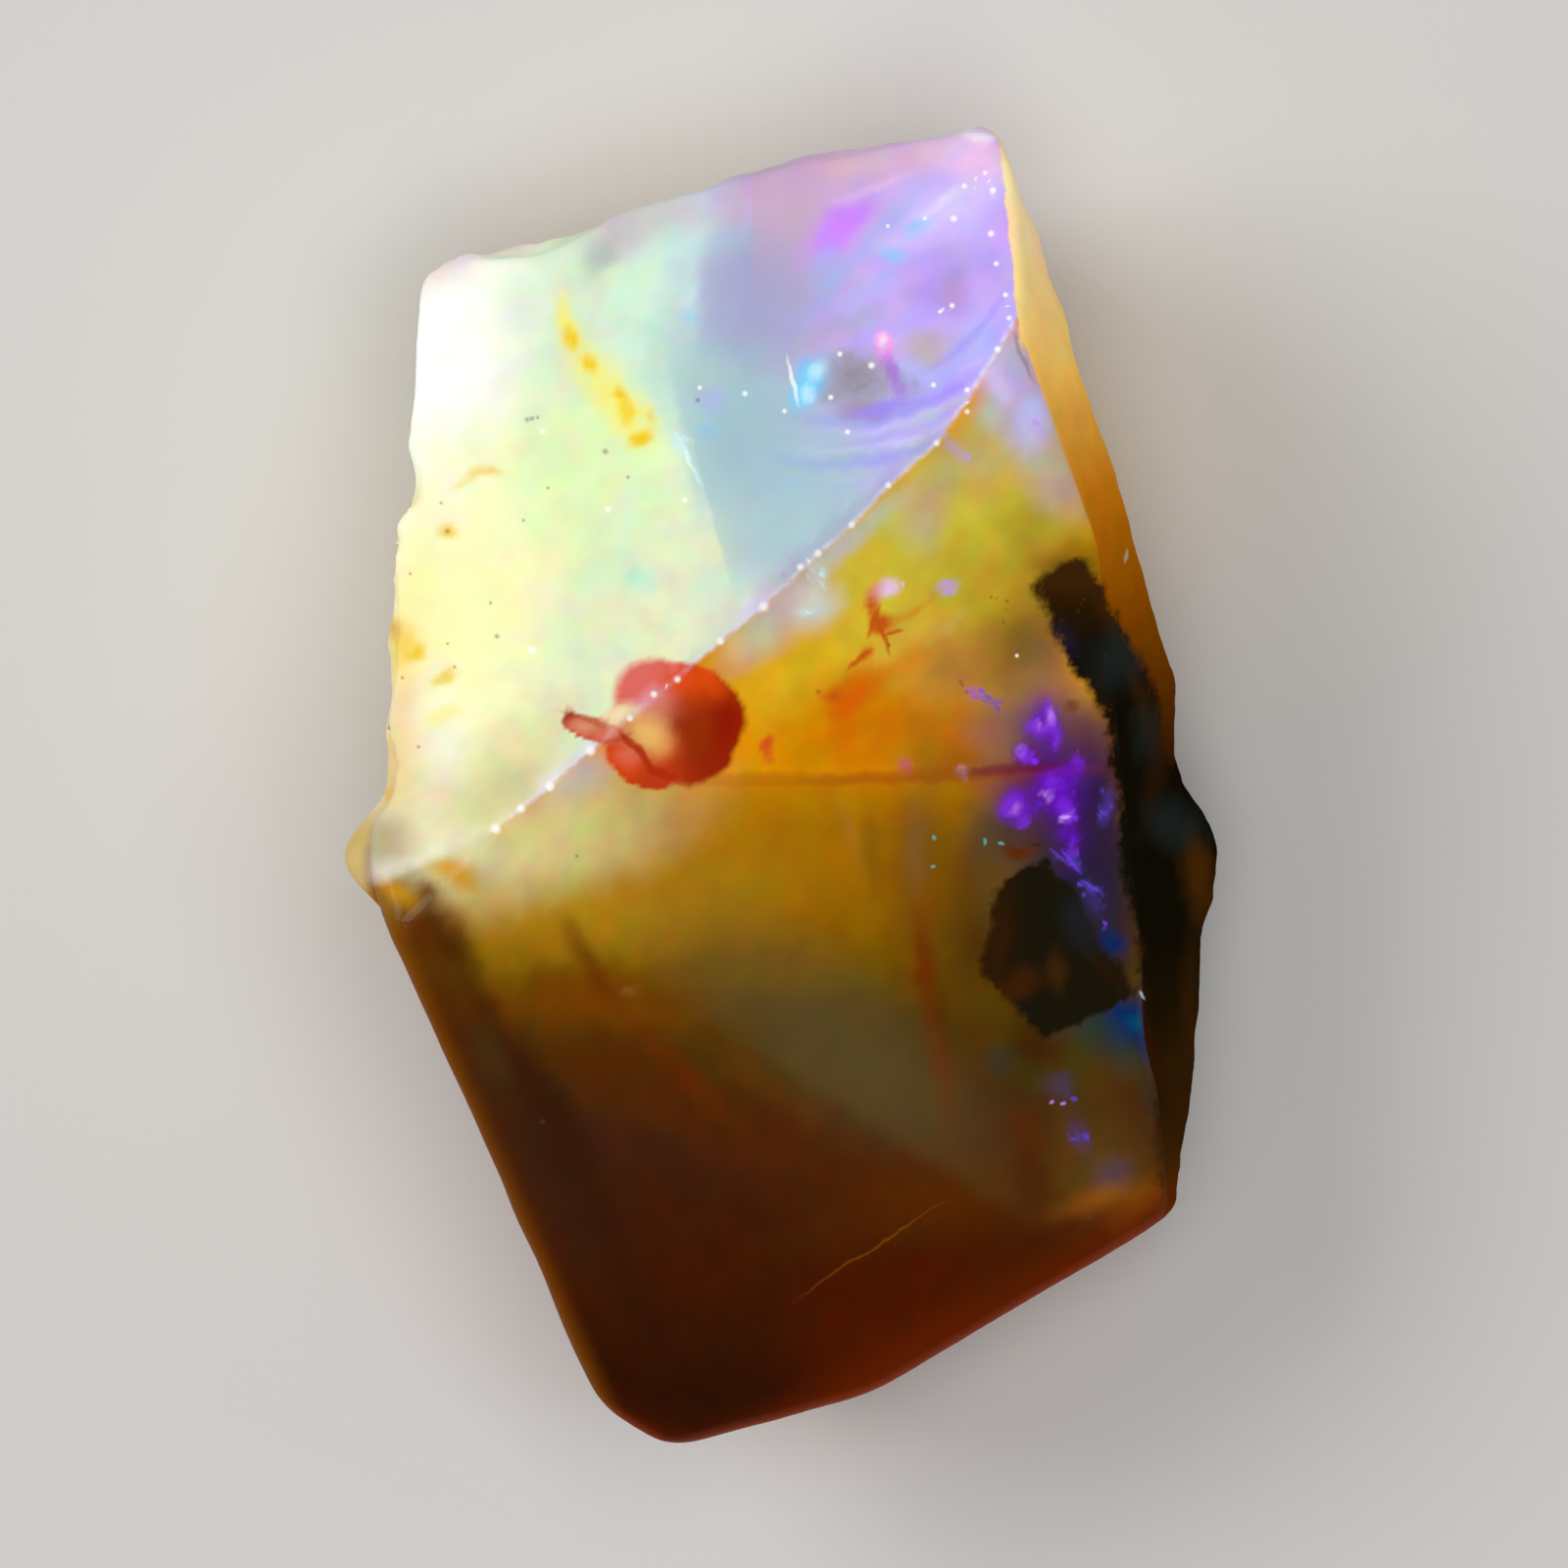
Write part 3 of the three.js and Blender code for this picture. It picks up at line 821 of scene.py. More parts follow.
LOWER_CLOUDS = [
    # Mustard and gold under the right half of the ridge, and grey at its upper end
    ("mustard", (2.8, 4.7), (2.9, 1.6), 43, 0.5, 1),
    ("olive yellow", (3.9, 3.9), (1.3, 0.8), 10, 0.8, 0.7),
    ("khaki", (3.4, 6), (1.1, 0.6), 43, 0.8, 0.9),
    ("dull gold", (5, 4.7), (1, 0.8), -20, 0.8, 0.8),
    ("warm grey", (5.3, 6.2), (0.6, 0.9), 20, 0.8, 0.9),
    ("soft violet", (4.5, 7.9), (0.6, 1.1), 20, 0.8, 0.9),
    # Yellow beside the inclusion, and orange and tan to the right of it
    ("yellow", (0.4, 2.5), (1.6, 0.8), 40, 0.7, 0.95),
    ("pale khaki", (-0.4, 3), (0.9, 0.4), 43, 0.8, 0.8),
    ("orange", (1.6, 1), (1.1, 0.9), 10, 0.8, 0.85),
    ("honey", (2.5, 2.7), (0.8, 0.5), 40, 0.8, 0.7),
    ("tan", (3.5, 2.3), (0.9, 0.7), 20, 0.8, 0.9),
    ("dull honey", (3.3, 1.1), (1, 0.5), 0, 0.8, 0.9),
    ("olive tan", (4.8, 2.7), (0.7, 0.9), 0, 0.8, 0.9),
    ("mauve brown", (4.7, 1.2), (0.8, 0.7), 0, 0.8, 0.9),
    ("copper", (3.5, 0.4), (0.8, 0.4), 0, 0.8, 0.8),
    # Straw and sand at the left end of the ridge, with honey under them
    ("dark honey", (-3.5, -2.1), (3, 1.1), 6, 0.9, 0.75),
    ("straw", (-4.7, -1), (2.3, 0.9), 18, 0.95, 0.9),
    ("pale khaki", (-6.9, -1.4), (1.2, 0.5), -10, 0.8, 0.9),
    ("sand", (-4, -1.3), (1.6, 0.6), 10, 0.95, 0.7),
    # Browns down the left side
    ("rust brown", (-7, -2.8), (0.7, 0.5), -30, 0.8, 0.9),
    ("dark copper", (-6.2, -5.4), (3.3, 0.8), -64, 0.7, 0.9),
    ("amber brown", (-3.7, -4.3), (1.8, 0.6), 0, 0.8, 0.9),
    ("chestnut", (-2.8, -5.9), (2, 0.7), -20, 0.8, 0.8),
    ("dark umber", (-4.5, -7.3), (2.7, 0.7), -62, 0.8, 0.8),
    # The haze in the middle, rust round it, and dark red at the bottom
    ("haze", (1.3, -5.4), (2.3, 1), -38, 0.8, 0.9),
    ("chestnut", (-0.4, -7.1), (1.3, 0.6), -20, 0.8, 0.7),
    ("deep rust", (3.2, -8), (2.4, 1), 10, 0.8, 0.8),
    ("dark red", (2.1, -10.6), (2, 1.2), 28, 0.7, 0.95),
    ("ochre brown", (6.3, -7.6), (1.2, 0.9), 15, 0.8, 0.9),
    # Brown and soot on the right, where the violet fire lies
    ("copper brown", (2.6, -1.9), (0.6, 1.7), 0, 0.8, 0.8),
    ("umber", (3.7, -2.2), (0.7, 1.9), 0, 0.8, 0.9),
    ("plum", (5.7, 0.2), (0.9, 0.9), 0, 0.8, 0.9),
    ("slate", (5.3, -1.4), (1.3, 1), -20, 0.8, 0.95),
    ("slate", (6.3, -1.7), (0.7, 1.8), 12, 0.8, 0.95),
    ("soot", (5.5, -3.3), (1.4, 1.1), -20, 0.7, 0.95),
    ("deep teal", (6.6, -4.8), (0.7, 0.6), 0, 0.8, 0.9),
]

LOWER_PATCHES = [
    # The brown bands that run down the left side
    ("dark brown", (-6.1, -3.9), (1.65, 0.25), -61, 0.8, 0.5),
    ("dark brown", (-4.5, -6.5), (1.46, 0.35), -63, 0.8, 0.6),
    ("dark brown", (-3, -9.8), (2.13, 0.39), -65, 0.9, 0.5),
    ("rust", (-3.8, -3.5), (0.89, 0.17), -58, 0.8, 0.6),
    ("rust", (-2.1, -5.6), (1.2, 0.21), -45, 0.8, 0.6),
    ("rust brown", (-7.01, -2.14), (0.17, 0.21), 0, 0.8, 0.7),
    ("moss", (-5.75, -5.33), (0.5, 0.23), -60, 0.9, 0.5),
    # The clouds and streaks of the right side
    ("orange", (2.4, 2.4), (0.78, 0.23), 38, 0.8, 0.6),
    ("rust", (2.8, -3.7), (1.28, 0.19), -82, 0.8, 0.8),
    ("rust", (3.1, -5.6), (0.97, 0.19), -80, 0.8, 0.8),
    ("dark rust", (3.2, -5.1), (1.16, 0.12), -84, 0.8, 0.5),
    ("moss", (1.7, -1.2), (0.17, 0.78), 6, 0.9, 0.4),
    ("mauve brown", (5.3, 1.8), (0.58, 0.85), 10, 0.9, 0.5),
    ("violet haze", (5.3, -0), (1.05, 1.2), 8, 0.8, 0.75),
    ("violet shade", (5.9, -1.9), (0.5, 1.16), 28, 0.8, 1),
    ("violet shade", (6.1, -0.4), (0.39, 1.44), 0, 0.9, 0.9),
    ("violet glow", (5.17, 1.19), (0.35, 0.5), 4, 0.9, 0.8),
    ("violet glow", (5.56, 0.38), (0.58, 0.39), 0, 0.9, 0.6),
    ("violet glow", (4.74, 0.57), (0.27, 0.16), -28, 0.9, 0.6),
    ("violet glow", (5.4, -0.2), (0.54, 0.66), 20, 0.9, 0.85),
    ("violet glow", (4.55, -0.48), (0.39, 0.35), -30, 0.9, 0.8),
    ("violet glow", (5.67, -1.33), (0.31, 0.47), -40, 0.9, 0.35),
    ("dark slate", (4.67, -1.21), (0.39, 0.16), -10, 0.9, 0.4),
    ("rose brown", (4.6, -1), (0.66, 0.35), 0, 0.9, 0.8),
    ("rose brown", (5.13, -1.68), (0.47, 0.27), 30, 0.9, 0.7),
    ("plum brown", (5.8, 1), (0.5, 0.66), 20, 0.9, 0.6),
    ("crimson haze", (4.9, 0.3), (0.85, 0.23), 4, 0.8, 0.4),
    ("dark teal", (4.01, -1.02), (0.43, 0.5), 0, 0.9, 0.5),
    ("indigo", (6.18, -2.18), (0.5, 0.23), -62, 0.8, 0.3),
    ("dark plum", (6.3, -1), (0.31, 0.97), -8, 0.9, 0.6),
    ("dark slate", (6.1, -2.47), (0.35, 0.58), 26, 0.9, 0.6),
    ("dark teal", (6.41, -4.94), (0.47, 0.35), 0, 0.9, 0.6),
    ("deep blue", (6.49, -3.15), (0.21, 0.27), 22, 0.8, 0.9),
    ("deep blue", (6.92, -4.74), (0.47, 0.35), -30, 0.8, 1),
    ("deep blue", (7.23, -5.17), (0.19, 0.31), 0, 0.8, 0.6),
    ("blue light", (6.95, -4.76), (0.17, 0.14), 0, 0.9, 0.8),
    ("sea green", (6.78, -5.52), (0.27, 0.31), 0, 0.9, 0.3),
    ("pearl grey", (0.2, 3.8), (0.85, 0.27), 43, 0.8, 0.7),
    ("pearl grey", (1.8, 5.2), (0.78, 0.19), 43, 0.9, 0.6),
    ("dark teal", (7.23, -6.06), (0.19, 0.47), 10, 0.9, 0.3),
    ("dark teal", (4.26, -5.48), (0.27, 0.27), 0, 0.9, 0.5),
    ("haze light", (6.47, -7.77), (0.39, 0.35), 0, 0.9, 0.25),
    ("moss", (5.2, -6), (0.78, 0.78), 0, 0.9, 0.4),
    ("rust", (4.9, -7.5), (0.27, 0.89), 10, 0.9, 0.6),
    ("dark rust", (4.86, -8.12), (0.43, 0.35), 0, 0.9, 0.8),
    ("ochre brown", (6, -6.3), (0.58, 1.16), -10, 0.9, 0.4),
    ("moss green", (4.86, -5.75), (0.31, 0.23), 0, 0.9, 0.7),
    ("dusk violet", (5.44, -5.91), (0.27, 0.19), 0, 0.9, 0.4),
    ("dusk violet", (5.85, -6.94), (0.19, 0.39), 20, 0.9, 0.35),
    ("dusk violet", (6.57, -7.75), (0.31, 0.27), 0, 0.9, 0.5),
    ("dark brown", (4.98, -5.13), (0.5, 0.43), -10, 0.9, 0.6),
    ("dark teal", (5.95, -4.86), (0.5, 0.19), 10, 0.9, 0.5),
    ("dark moss", (5.7, 4.3), (0.66, 0.27), 0, 0.9, 0.8),
    ("dark gold", (-7.56, -2.14), (0.39, 0.19), -36, 0.9, 0.7),
    ("copper brown", (-0.2, -6), (1.94, 0.31), -38, 0.9, 0.3),
    ("mauve brown", (2.6, -1.2), (0.17, 0.7), 0, 0.9, 0.35),
    ("tan", (1.3, -0.9), (0.1, 0.66), 24, 0.9, 0.3),
    ("straw", (-6, -1.3), (0.78, 0.27), -12, 0.9, 0.8),
    ("grey sage", (-7.98, -1.64), (0.27, 0.23), 0, 0.9, 0.6),
    ("pearl grey", (1.13, 4.69), (0.43, 0.23), 43, 0.9, 0.7),
    ("warm grey", (2.69, 5.09), (0.39, 0.5), 0, 0.9, 0.5),
    ("mustard", (3.93, 4.9), (0.47, 0.43), 0, 0.9, 0.6),
    ("mustard", (2.73, 4.03), (0.35, 0.23), 30, 0.9, 0.5),
    ("olive", (-0.2, -3.7), (1.75, 0.39), 0, 0.9, 0.6),
    ("pearl grey", (-3.79, 0.15), (0.5, 0.29), 43, 0.9, 0.5),
    ("olive yellow", (5.1, 5), (0.66, 0.31), 0, 0.9, 0.7),
    ("dull bronze", (5.87, 4.61), (0.35, 0.23), 0, 0.9, 0.7),
    ("mustard", (1.41, 3.06), (0.47, 0.35), 30, 0.9, 0.5),
    ("mauve brown", (4.08, 1.02), (0.39, 0.35), 0, 0.9, 0.6),
    ("dark khaki", (2.7, -1), (0.31, 1.09), -6, 0.9, 0.5),
    ("crimson haze", (4.43, -0.09), (0.54, 0.27), 0, 0.9, 0.4),
    ("ice lilac", (4.86, 7.11), (0.35, 0.54), -20, 0.9, 0.9),
    ("periwinkle", (4.47, 8.02), (0.23, 0.39), 20, 0.9, 0.6),
    ("ice grey", (4.12, 7.17), (0.23, 0.35), 30, 0.9, 0.5),
    ("pale violet", (-4.16, 0.18), (0.58, 0.31), 43, 0.9, 0.2),
    ("dark brown", (4.86, -7.71), (0.31, 0.58), 8, 0.9, 0.55),
    ("cool grey", (0.63, 3.52), (0.43, 0.35), 43, 0.9, 0.8),
    ("mustard", (3.6, 5.62), (0.5, 0.35), 60, 0.8, 0.8),
    ("dark gold", (-6.43, -1.79), (0.58, 0.23), -22, 0.8, 0.9),
    ("pale violet", (4.2, 7.87), (0.23, 0.43), 20, 0.8, 0.8),
    ("moss green", (5.83, -5.48), (0.27, 0.39), 0, 0.9, 0.5),
    ("copper", (6.3, -8.2), (0.78, 0.23), 15, 0.9, 0.5),
    ("haze", (4, -2), (0.19, 0.78), 0, 0.9, 0.5),
    # A painted glow along the bottom right rim
    ("rim orange", (7.1, -8.2), (0.66, 0.31), 40, 0.9, 0.5),
]

# %% [markdown]
# The sliver on the right is honey coloured, with a painted glow that is palest at its top, and the old
# rock below it is nearly black. The rock is a tongue that tapers up between the lower face and the sliver.

# %% Clouds of the right side
# A painted glow: palest at the top of the sliver, darker towards the old rock
sliver_base = graded(
    (4.6, 11), (7.7, 0.5),
    (0, "pale honey"), (0.26, "soft orange"), (0.5, "warm amber"), (0.72, "rim orange"),
    (1, "dark umber"),
)

skin_base = graded(
    (6, 4.2), (7.6, -8),
    (0, "skin rust"), (0.12, "old rock"), (0.6, "old rock"), (0.8, "brown black"),
)

SKIN_PATCHES = [
    ("skin rust", (5.8, 4.1), (0.78, 0.35), 0, 0.8, 0.9),
    ("skin rust", (6.33, 3.48), (0.19, 0.5), 25, 0.9, 0.8),
    ("skin rust", (6.76, 2.51), (0.17, 0.58), 22, 0.9, 0.8),
    ("skin rust", (7.15, 1.46), (0.16, 0.58), 14, 0.9, 0.7),
    ("indigo", (5.56, 2.86), (0.39, 0.19), -50, 0.8, 0.1),
    ("skin red", (6.4, 0.4), (0.14, 1.2), 6, 0.8, 0.4),
    ("skin rust", (6.61, -2.28), (0.14, 0.43), 5, 0.6, 0.8),
    ("honey", (6.53, -2.69), (0.1, 0.08), 0, 0.8, 0.4),
    ("skin rust", (6.92, -3.31), (0.16, 0.27), 10, 0.7, 0.8),
    ("skin rust", (6.84, -3.93), (0.39, 0.23), -50, 0.8, 0.5),
    ("skin rust", (7.4, 0.5), (0.23, 1.16), -8, 0.8, 0.35),
    ("skin teal", (6.68, 2.51), (0.47, 0.58), -30, 0.8, 0.9),
    ("skin teal", (7.19, 1.02), (0.27, 0.58), 0, 0.8, 0.6),
    ("skin teal", (7.77, -0.82), (0.58, 0.43), -30, 0.8, 0.9),
    ("skin orange", (8.3, -2), (0.31, 0.78), 10, 0.8, 0.7),
    ("skin orange", (8.24, -1.6), (0.19, 0.39), 0, 0.8, 0.5),
    ("skin rust", (8.1, -4.1), (0.19, 1.16), 0, 0.8, 0.5),
    ("skin rust", (7.9, -6.6), (0.39, 1.55), 0, 0.8, 0.5),
    ("skin orange", (7.7, -7.8), (0.31, 0.78), 12, 0.8, 0.5),
]

SKIN_LEFT = [
    (-8.49, 7.61), (-7.85, 7.48), (-6.45, 7.36), (-5.4, 7.42), (-4.24, 7.13), (-3.15, 6.95),
    (-1.29, 6.64), (-0.59, 6.64), (-0.01, 6.53), (0.55, 6.41), (1.23, 6.3), (1.62, 6.16),
    (1.89, 6.04), (2.1, 5.85), (2.51, 5.54), (3.04, 5.29), (3.66, 5.01), (3.87, 4.88),
    (4.03, 4.98), (4.18, 5.17), (4.3, 5.33), (4.45, 5.64), (4.65, 6.41),
]

SKIN_RIGHT = [
    (-8.49, 9.71), (-0.05, 9.71), (0.4, 7.58), (1, 7.46), (1.62, 7.42), (2.16, 7.23),
    (2.69, 6.95), (3.23, 6.63), (3.54, 6.43), (3.91, 6.33), (4.1, 6.24), (4.26, 6.06),
    (4.41, 5.91), (4.61, 5.44),
]

# %% [markdown]
# The ridge between the upper and the lower face isn't quite straight. It runs through these places,
# and each point keeps how far below it the point lies: where that number passes 0, the material can
# draw a crisp border. The places are turned first, so that the ridge runs along one axis.

# %% The ridge
RIDGE = [
    (-8.43, -3.21), (-6.97, -2.05), (-5.64, -0.88), (-5.15, -0.48), (-4.59, -0.03), (-3.85, 0.63),
    (-3.02, 1.31), (-2.09, 2.1), (-1.25, 2.8), (-0.4, 3.5), (0.67, 4.53), (1.33, 5.11),
    (2.05, 5.87), (3, 6.72), (3.6, 7.56), (4.04, 8.29), (4.2, 8.55), (4.51, 9.07),
    (5.44, 10.62),
]

RIDGE_TURN = math.radians(-44)


def turned(places):
    """Places of the plan, turned so that the ridge runs along x."""
    x, y = np.array(places).T
    cos, sin = math.cos(RIDGE_TURN), math.sin(RIDGE_TURN)
    return x * cos - y * sin, x * sin + y * cos


along, up = turned(points[:, :2] + 0.03 * wander(0.5, 3)[:, :2])
below = np.interp(along, *turned(RIDGE)) - up
stone.data.attributes.new("below_ridge", "FLOAT", "POINT").data.foreach_set("value", below)
print("the ridge runs through", len(RIDGE), "places")

# %% [markdown]
# Opal is never of one even colour: over a fraction of a millimetre it wavers between greenish and
# pinkish. So noise multiplies each channel by a little more or less than one.

# %% Painting the faces
OPALESCENCE = 0.11
wavering = np.column_stack((1 + OPALESCENCE * wander(0.6, 4), np.ones(len(points))))

upper = with_ovals(with_ovals(upper_base, UPPER_CLOUDS, drifting), UPPER_PATCHES, plan)
from_centre = np.hypot(*(plan - ARC_CENTRE).T)
for name, radius, half_width, *oval in ARCS:
    ring = step(abs(from_centre - radius), half_width, 0)
    upper = paint_over(upper, name, ring * within(plan, *oval))
keep("upper_clouds", upper * wavering)

lower = with_ovals(with_ovals(lower_base, LOWER_CLOUDS, drifting), LOWER_PATCHES, plan)
keep("lower_clouds", lower * wavering ** 1.5)
keep("sliver_clouds", sliver_base * wavering)

skin = with_ovals(skin_base, SKIN_PATCHES, plan) * wavering
keep("skin_clouds", skin * between(SKIN_LEFT, SKIN_RIGHT, 0.25)[:, None])

# %% [markdown]
# Over the faces lie things with borders of their own, so they are paintings that are clear elsewhere.
# Stains and the red growth in the lower face lie nearest to the clouds. The red inclusion lies across
# the ridge. The blotch is a ragged patch of the same old rock as the skin.

# %% Stains, inclusion and blotch
STAINS = [
    # The bowl in the violet end
    ("bowl grey", (1.4, 7.9), (0.81, 0.7), 0, 0.4, 0.5),
    ("dull mauve", (1.37, 7.98), (0.54, 0.47), 0, 0.9, 0.55),
    ("lavender", (0.9, 8.02), (0.16, 0.35), 0, 0.9, 0.5),
    ("dull mauve", (2.53, 7.87), (0.27, 0.17), -40, 0.7, 0.4),
    ("deep mauve", (1.66, 7.32), (0.58, 0.16), 5, 0.8, 0.7),
    ("arc blue", (2, 7.4), (0.66, 0.12), 14, 0.7, 0.6),
    ("bright cyan", (0.42, 7.87), (0.58, 0.29), 76, 0.8, 0.8),
    ("ice", (0.61, 8.14), (0.19, 0.12), 40, 0.8, 0.7),
    ("ice", (0.49, 7.67), (0.19, 0.12), -60, 0.8, 0.8),
    ("bright pink", (1.97, 8.64), (0.29, 0.16), -75, 0.6, 0.95),
    ("white", (1.95, 8.68), (0.16, 0.08), -75, 0.8, 0.8),
    ("purple", (2.16, 8.1), (0.54, 0.14), -68, 0.8, 0.8),
    # The yellow stain that runs down the middle of the upper face, and those on its left rim
    ("lemon", (-4.34, 9.34), (0.54, 0.21), -80, 0.9, 0.55),
    ("lemon", (-3.8, 8.2), (0.97, 0.47), -55, 0.9, 0.55),
    ("lemon", (-3, 7.2), (0.78, 0.47), -52, 0.9, 0.5),
    ("gold", (-4.22, 8.8), (0.21, 0.12), -70, 0.9, 0.8),
    ("gold", (-3.87, 8.33), (0.19, 0.14), -50, 0.9, 0.8),
    ("gold", (-3.21, 7.69), (0.17, 0.12), -60, 0.9, 0.9),
    ("gold", (-2.8, 6.82), (0.25, 0.14), 20, 0.9, 0.9),
    ("gold", (-3.09, 7.32), (0.12, 0.23), 0, 0.9, 0.6),
    ("gold", (-2.59, 7.25), (0.17, 0.1), -60, 0.9, 0.5),
    ("gold", (-7.5, 2.76), (0.25, 0.5), 0, 0.9, 0.6),
    ("orange", (-7.71, 3.06), (0.14, 0.23), 0, 0.9, 0.5),
    ("gold", (-7.23, 2.57), (0.16, 0.16), 0, 0.9, 0.7),
    ("gold", (-6.68, 2.09), (0.31, 0.16), 35, 0.9, 0.7),
    ("lemon", (-6.68, 1.35), (0.47, 0.21), 30, 0.9, 0.5),
    ("gold", (-6.2, 6.02), (0.43, 0.12), 30, 0.9, 0.55),
    ("gold", (-5.75, 6.18), (0.35, 0.1), 0, 0.9, 0.5),
    ("gold", (-6.59, 4.98), (0.21, 0.16), -20, 0.9, 0.7),
    ("honey", (-7.79, -0.2), (0.17, 0.27), 0, 0.9, 0.6),
    ("honey", (-7.27, 5.66), (0.27, 0.12), 60, 0.9, 0.4),
    ("tan", (-2.98, -4.08), (0.23, 0.12), 0, 0.9, 0.35),
    # The red growth and the orange clouds of the lower face
    ("burnt orange", (1.4, 1.9), (0.7, 0.27), 26, 0.9, 0.75),
    ("burnt orange", (1.13, 1.15), (0.31, 0.5), 0, 0.9, 0.7),
    ("burnt orange", (2, 1.1), (0.35, 0.66), -10, 0.9, 0.5),
    ("orange red", (1.33, 1.58), (0.43, 0.16), 40, 0.9, 0.4),
    ("salmon", (1.78, 3.79), (0.21, 0.16), 0, 0.9, 0.6),
    ("pale pink", (2.07, 3.83), (0.19, 0.16), 0, 0.9, 0.8),
    ("dendrite", (1.91, 3.13), (0.21, 0.23), 30, 0.8, 0.9),
    ("dendrite", (1.74, 3.52), (0.14, 0.19), 8, 0.8, 0.8),
    ("dendrite", (1.6, 2.55), (0.17, 0.12), 44, 0.8, 0.7),
    ("dendrite", (0.96, 1.78), (0.25, 0.12), -20, 0.8, 0.6),
    ("burnt orange", (2.53, 3.4), (0.5, 0.1), 30, 0.9, 0.5),
    ("moss yellow", (3.15, 3.06), (0.58, 0.19), 35, 0.9, 0.35),
    ("brick", (-0.34, 0.77), (0.14, 0.16), 0, 0.8, 0.9),
    ("brick", (-0.26, 0.51), (0.12, 0.12), 0, 0.8, 0.6),
    ("magenta", (2.4, 0.36), (0.16, 0.16), 20, 0.8, 0.6),
    ("dusty pink", (3.48, 0.22), (0.14, 0.12), 20, 0.9, 0.6),
    ("rust brown", (5.71, 1.56), (0.16, 0.14), 0, 0.8, 0.6),
    ("rust brown", (4.59, -1.33), (0.29, 0.14), -15, 0.8, 0.95),
    ("dark brown", (4.96, -1.29), (0.1, 0.08), 0, 0.8, 0.9),
]

INCLUSION = [
    ("inclusion red", (-2.1, 1.2), (1.14, 1.14), 0, 0.16, 1),
    ("inclusion red", (-2.8, 0.5), (0.74, 0.47), -34, 0.2, 1),
    ("pale salmon", (-3.37, 1.04), (0.31, 0.19), 0, 0.8, 0.7),
    ("inclusion pink", (-2.7, 1.9), (0.7, 0.5), 34, 0.55, 1),
    # The pale pink streak below is a painted highlight where the ridge crosses the inclusion
    ("pale pink", (-2.8, 1.54), (0.43, 0.16), 34, 0.8, 0.45),
    ("orange red", (-1.89, 1.89), (0.47, 0.31), -30, 0.7, 0.9),
    ("orange red", (-1.35, 1.85), (0.43, 0.19), -48, 0.7, 1),
    ("inclusion dark", (-1.2, 1.2), (0.37, 0.66), -8, 0.8, 1),
    ("inclusion dark", (-1.5, 0.53), (0.54, 0.31), 42, 0.8, 0.8),
    ("core pink", (-2.4, 1.35), (0.35, 0.39), 0, 0.8, 0.8),
    ("core brown", (-1.8, 1), (0.43, 0.66), -6, 0.8, 0.95),
    ("core orange", (-2.4, 0.65), (0.35, 0.23), 20, 0.8, 0.5),
    ("core light", (-2.67, 1), (0.39, 0.33), -36, 0.8, 0.95),
    # The pale notch is partly the inclusion's pale core and partly a painted glint on the ridge
    ("pale notch", (-3.21, 1.35), (0.35, 0.16), 25, 0.7, 1),
    ("orange red", (-3.17, 0.49), (0.35, 0.23), -42, 0.8, 0.85),
    ("salmon", (-3.09, 0.57), (0.19, 0.16), -30, 0.8, 0.8),
    ("inclusion red", (-3.87, 1.1), (0.48, 0.21), -20, 0.35, 0.95),
    ("inclusion dark", (-4.24, 1.35), (0.12, 0.17), -20, 0.8, 0.7),
    ("pale salmon", (-3.87, 1.12), (0.31, 0.14), -16, 0.9, 0.8),
]

BLOTCH_LEFT = [
    (-5.29, 5.64), (-5.01, 5.17), (-4.78, 4.94), (-4.51, 4.67), (-4.12, 4.28), (-3.85, 3.93),
    (-3.44, 3.93), (-2.96, 4.08), (-2.34, 4.12), (-1.91, 4.32), (-1.76, 4.55), (-1.6, 5.01),
    (-1.37, 5.17), (-1.17, 5.64),
]

BLOTCH_RIGHT = [
    (-5.29, 4.67), (-5.01, 5.25), (-4.86, 5.56), (-4.7, 5.87), (-4.51, 6.26), (-4.36, 6.64),
    (-4.16, 6.92), (-3.93, 6.84), (-3.62, 6.63), (-3.33, 6.33), (-2.98, 6.14), (-2.51, 5.85),
    (-1.99, 5.67), (-1.7, 5.4), (-1.56, 5.29), (-1.37, 5.19), (-1.17, 4.86),
]

BLOTCH_PATCHES = [
    ("rust brown", (4.63, -4.01), (0.47, 0.27), 30, 0.9, 0.4),
    ("rust brown", (4.2, -3.1), (0.19, 0.62), 0, 0.9, 0.35),
    ("burnt umber", (4.2, -2.5), (0.39, 0.93), 0, 0.9, 0.9),
    ("burnt umber", (3.97, -3.64), (0.5, 0.5), 0, 0.9, 0.8),
    ("skin rust", (5.4, -3.7), (0.16, 0.39), 6, 0.8, 1),
    ("burnt umber", (6.3, -3.6), (0.7, 0.12), -48, 0.9, 0.6),
    ("blue black", (5.83, -2.76), (0.27, 0.54), 26, 0.9, 0.6),
]

keep("stains", with_ovals(CLEAR, STAINS, plan))
keep("inclusion", with_ovals(CLEAR, INCLUSION, plan))
blotch = with_ovals(paint_over(CLEAR, "blotch", np.ones(len(points))), BLOTCH_PATCHES, plan)
keep("blotch", blotch * between(BLOTCH_LEFT, BLOTCH_RIGHT, 0.24)[:, None])

# %% [markdown]
# Flashes of fire are bright spectral colours, in crumbs with straight sides. The painting only says
# where they are, and the material breaks it into crumbs.

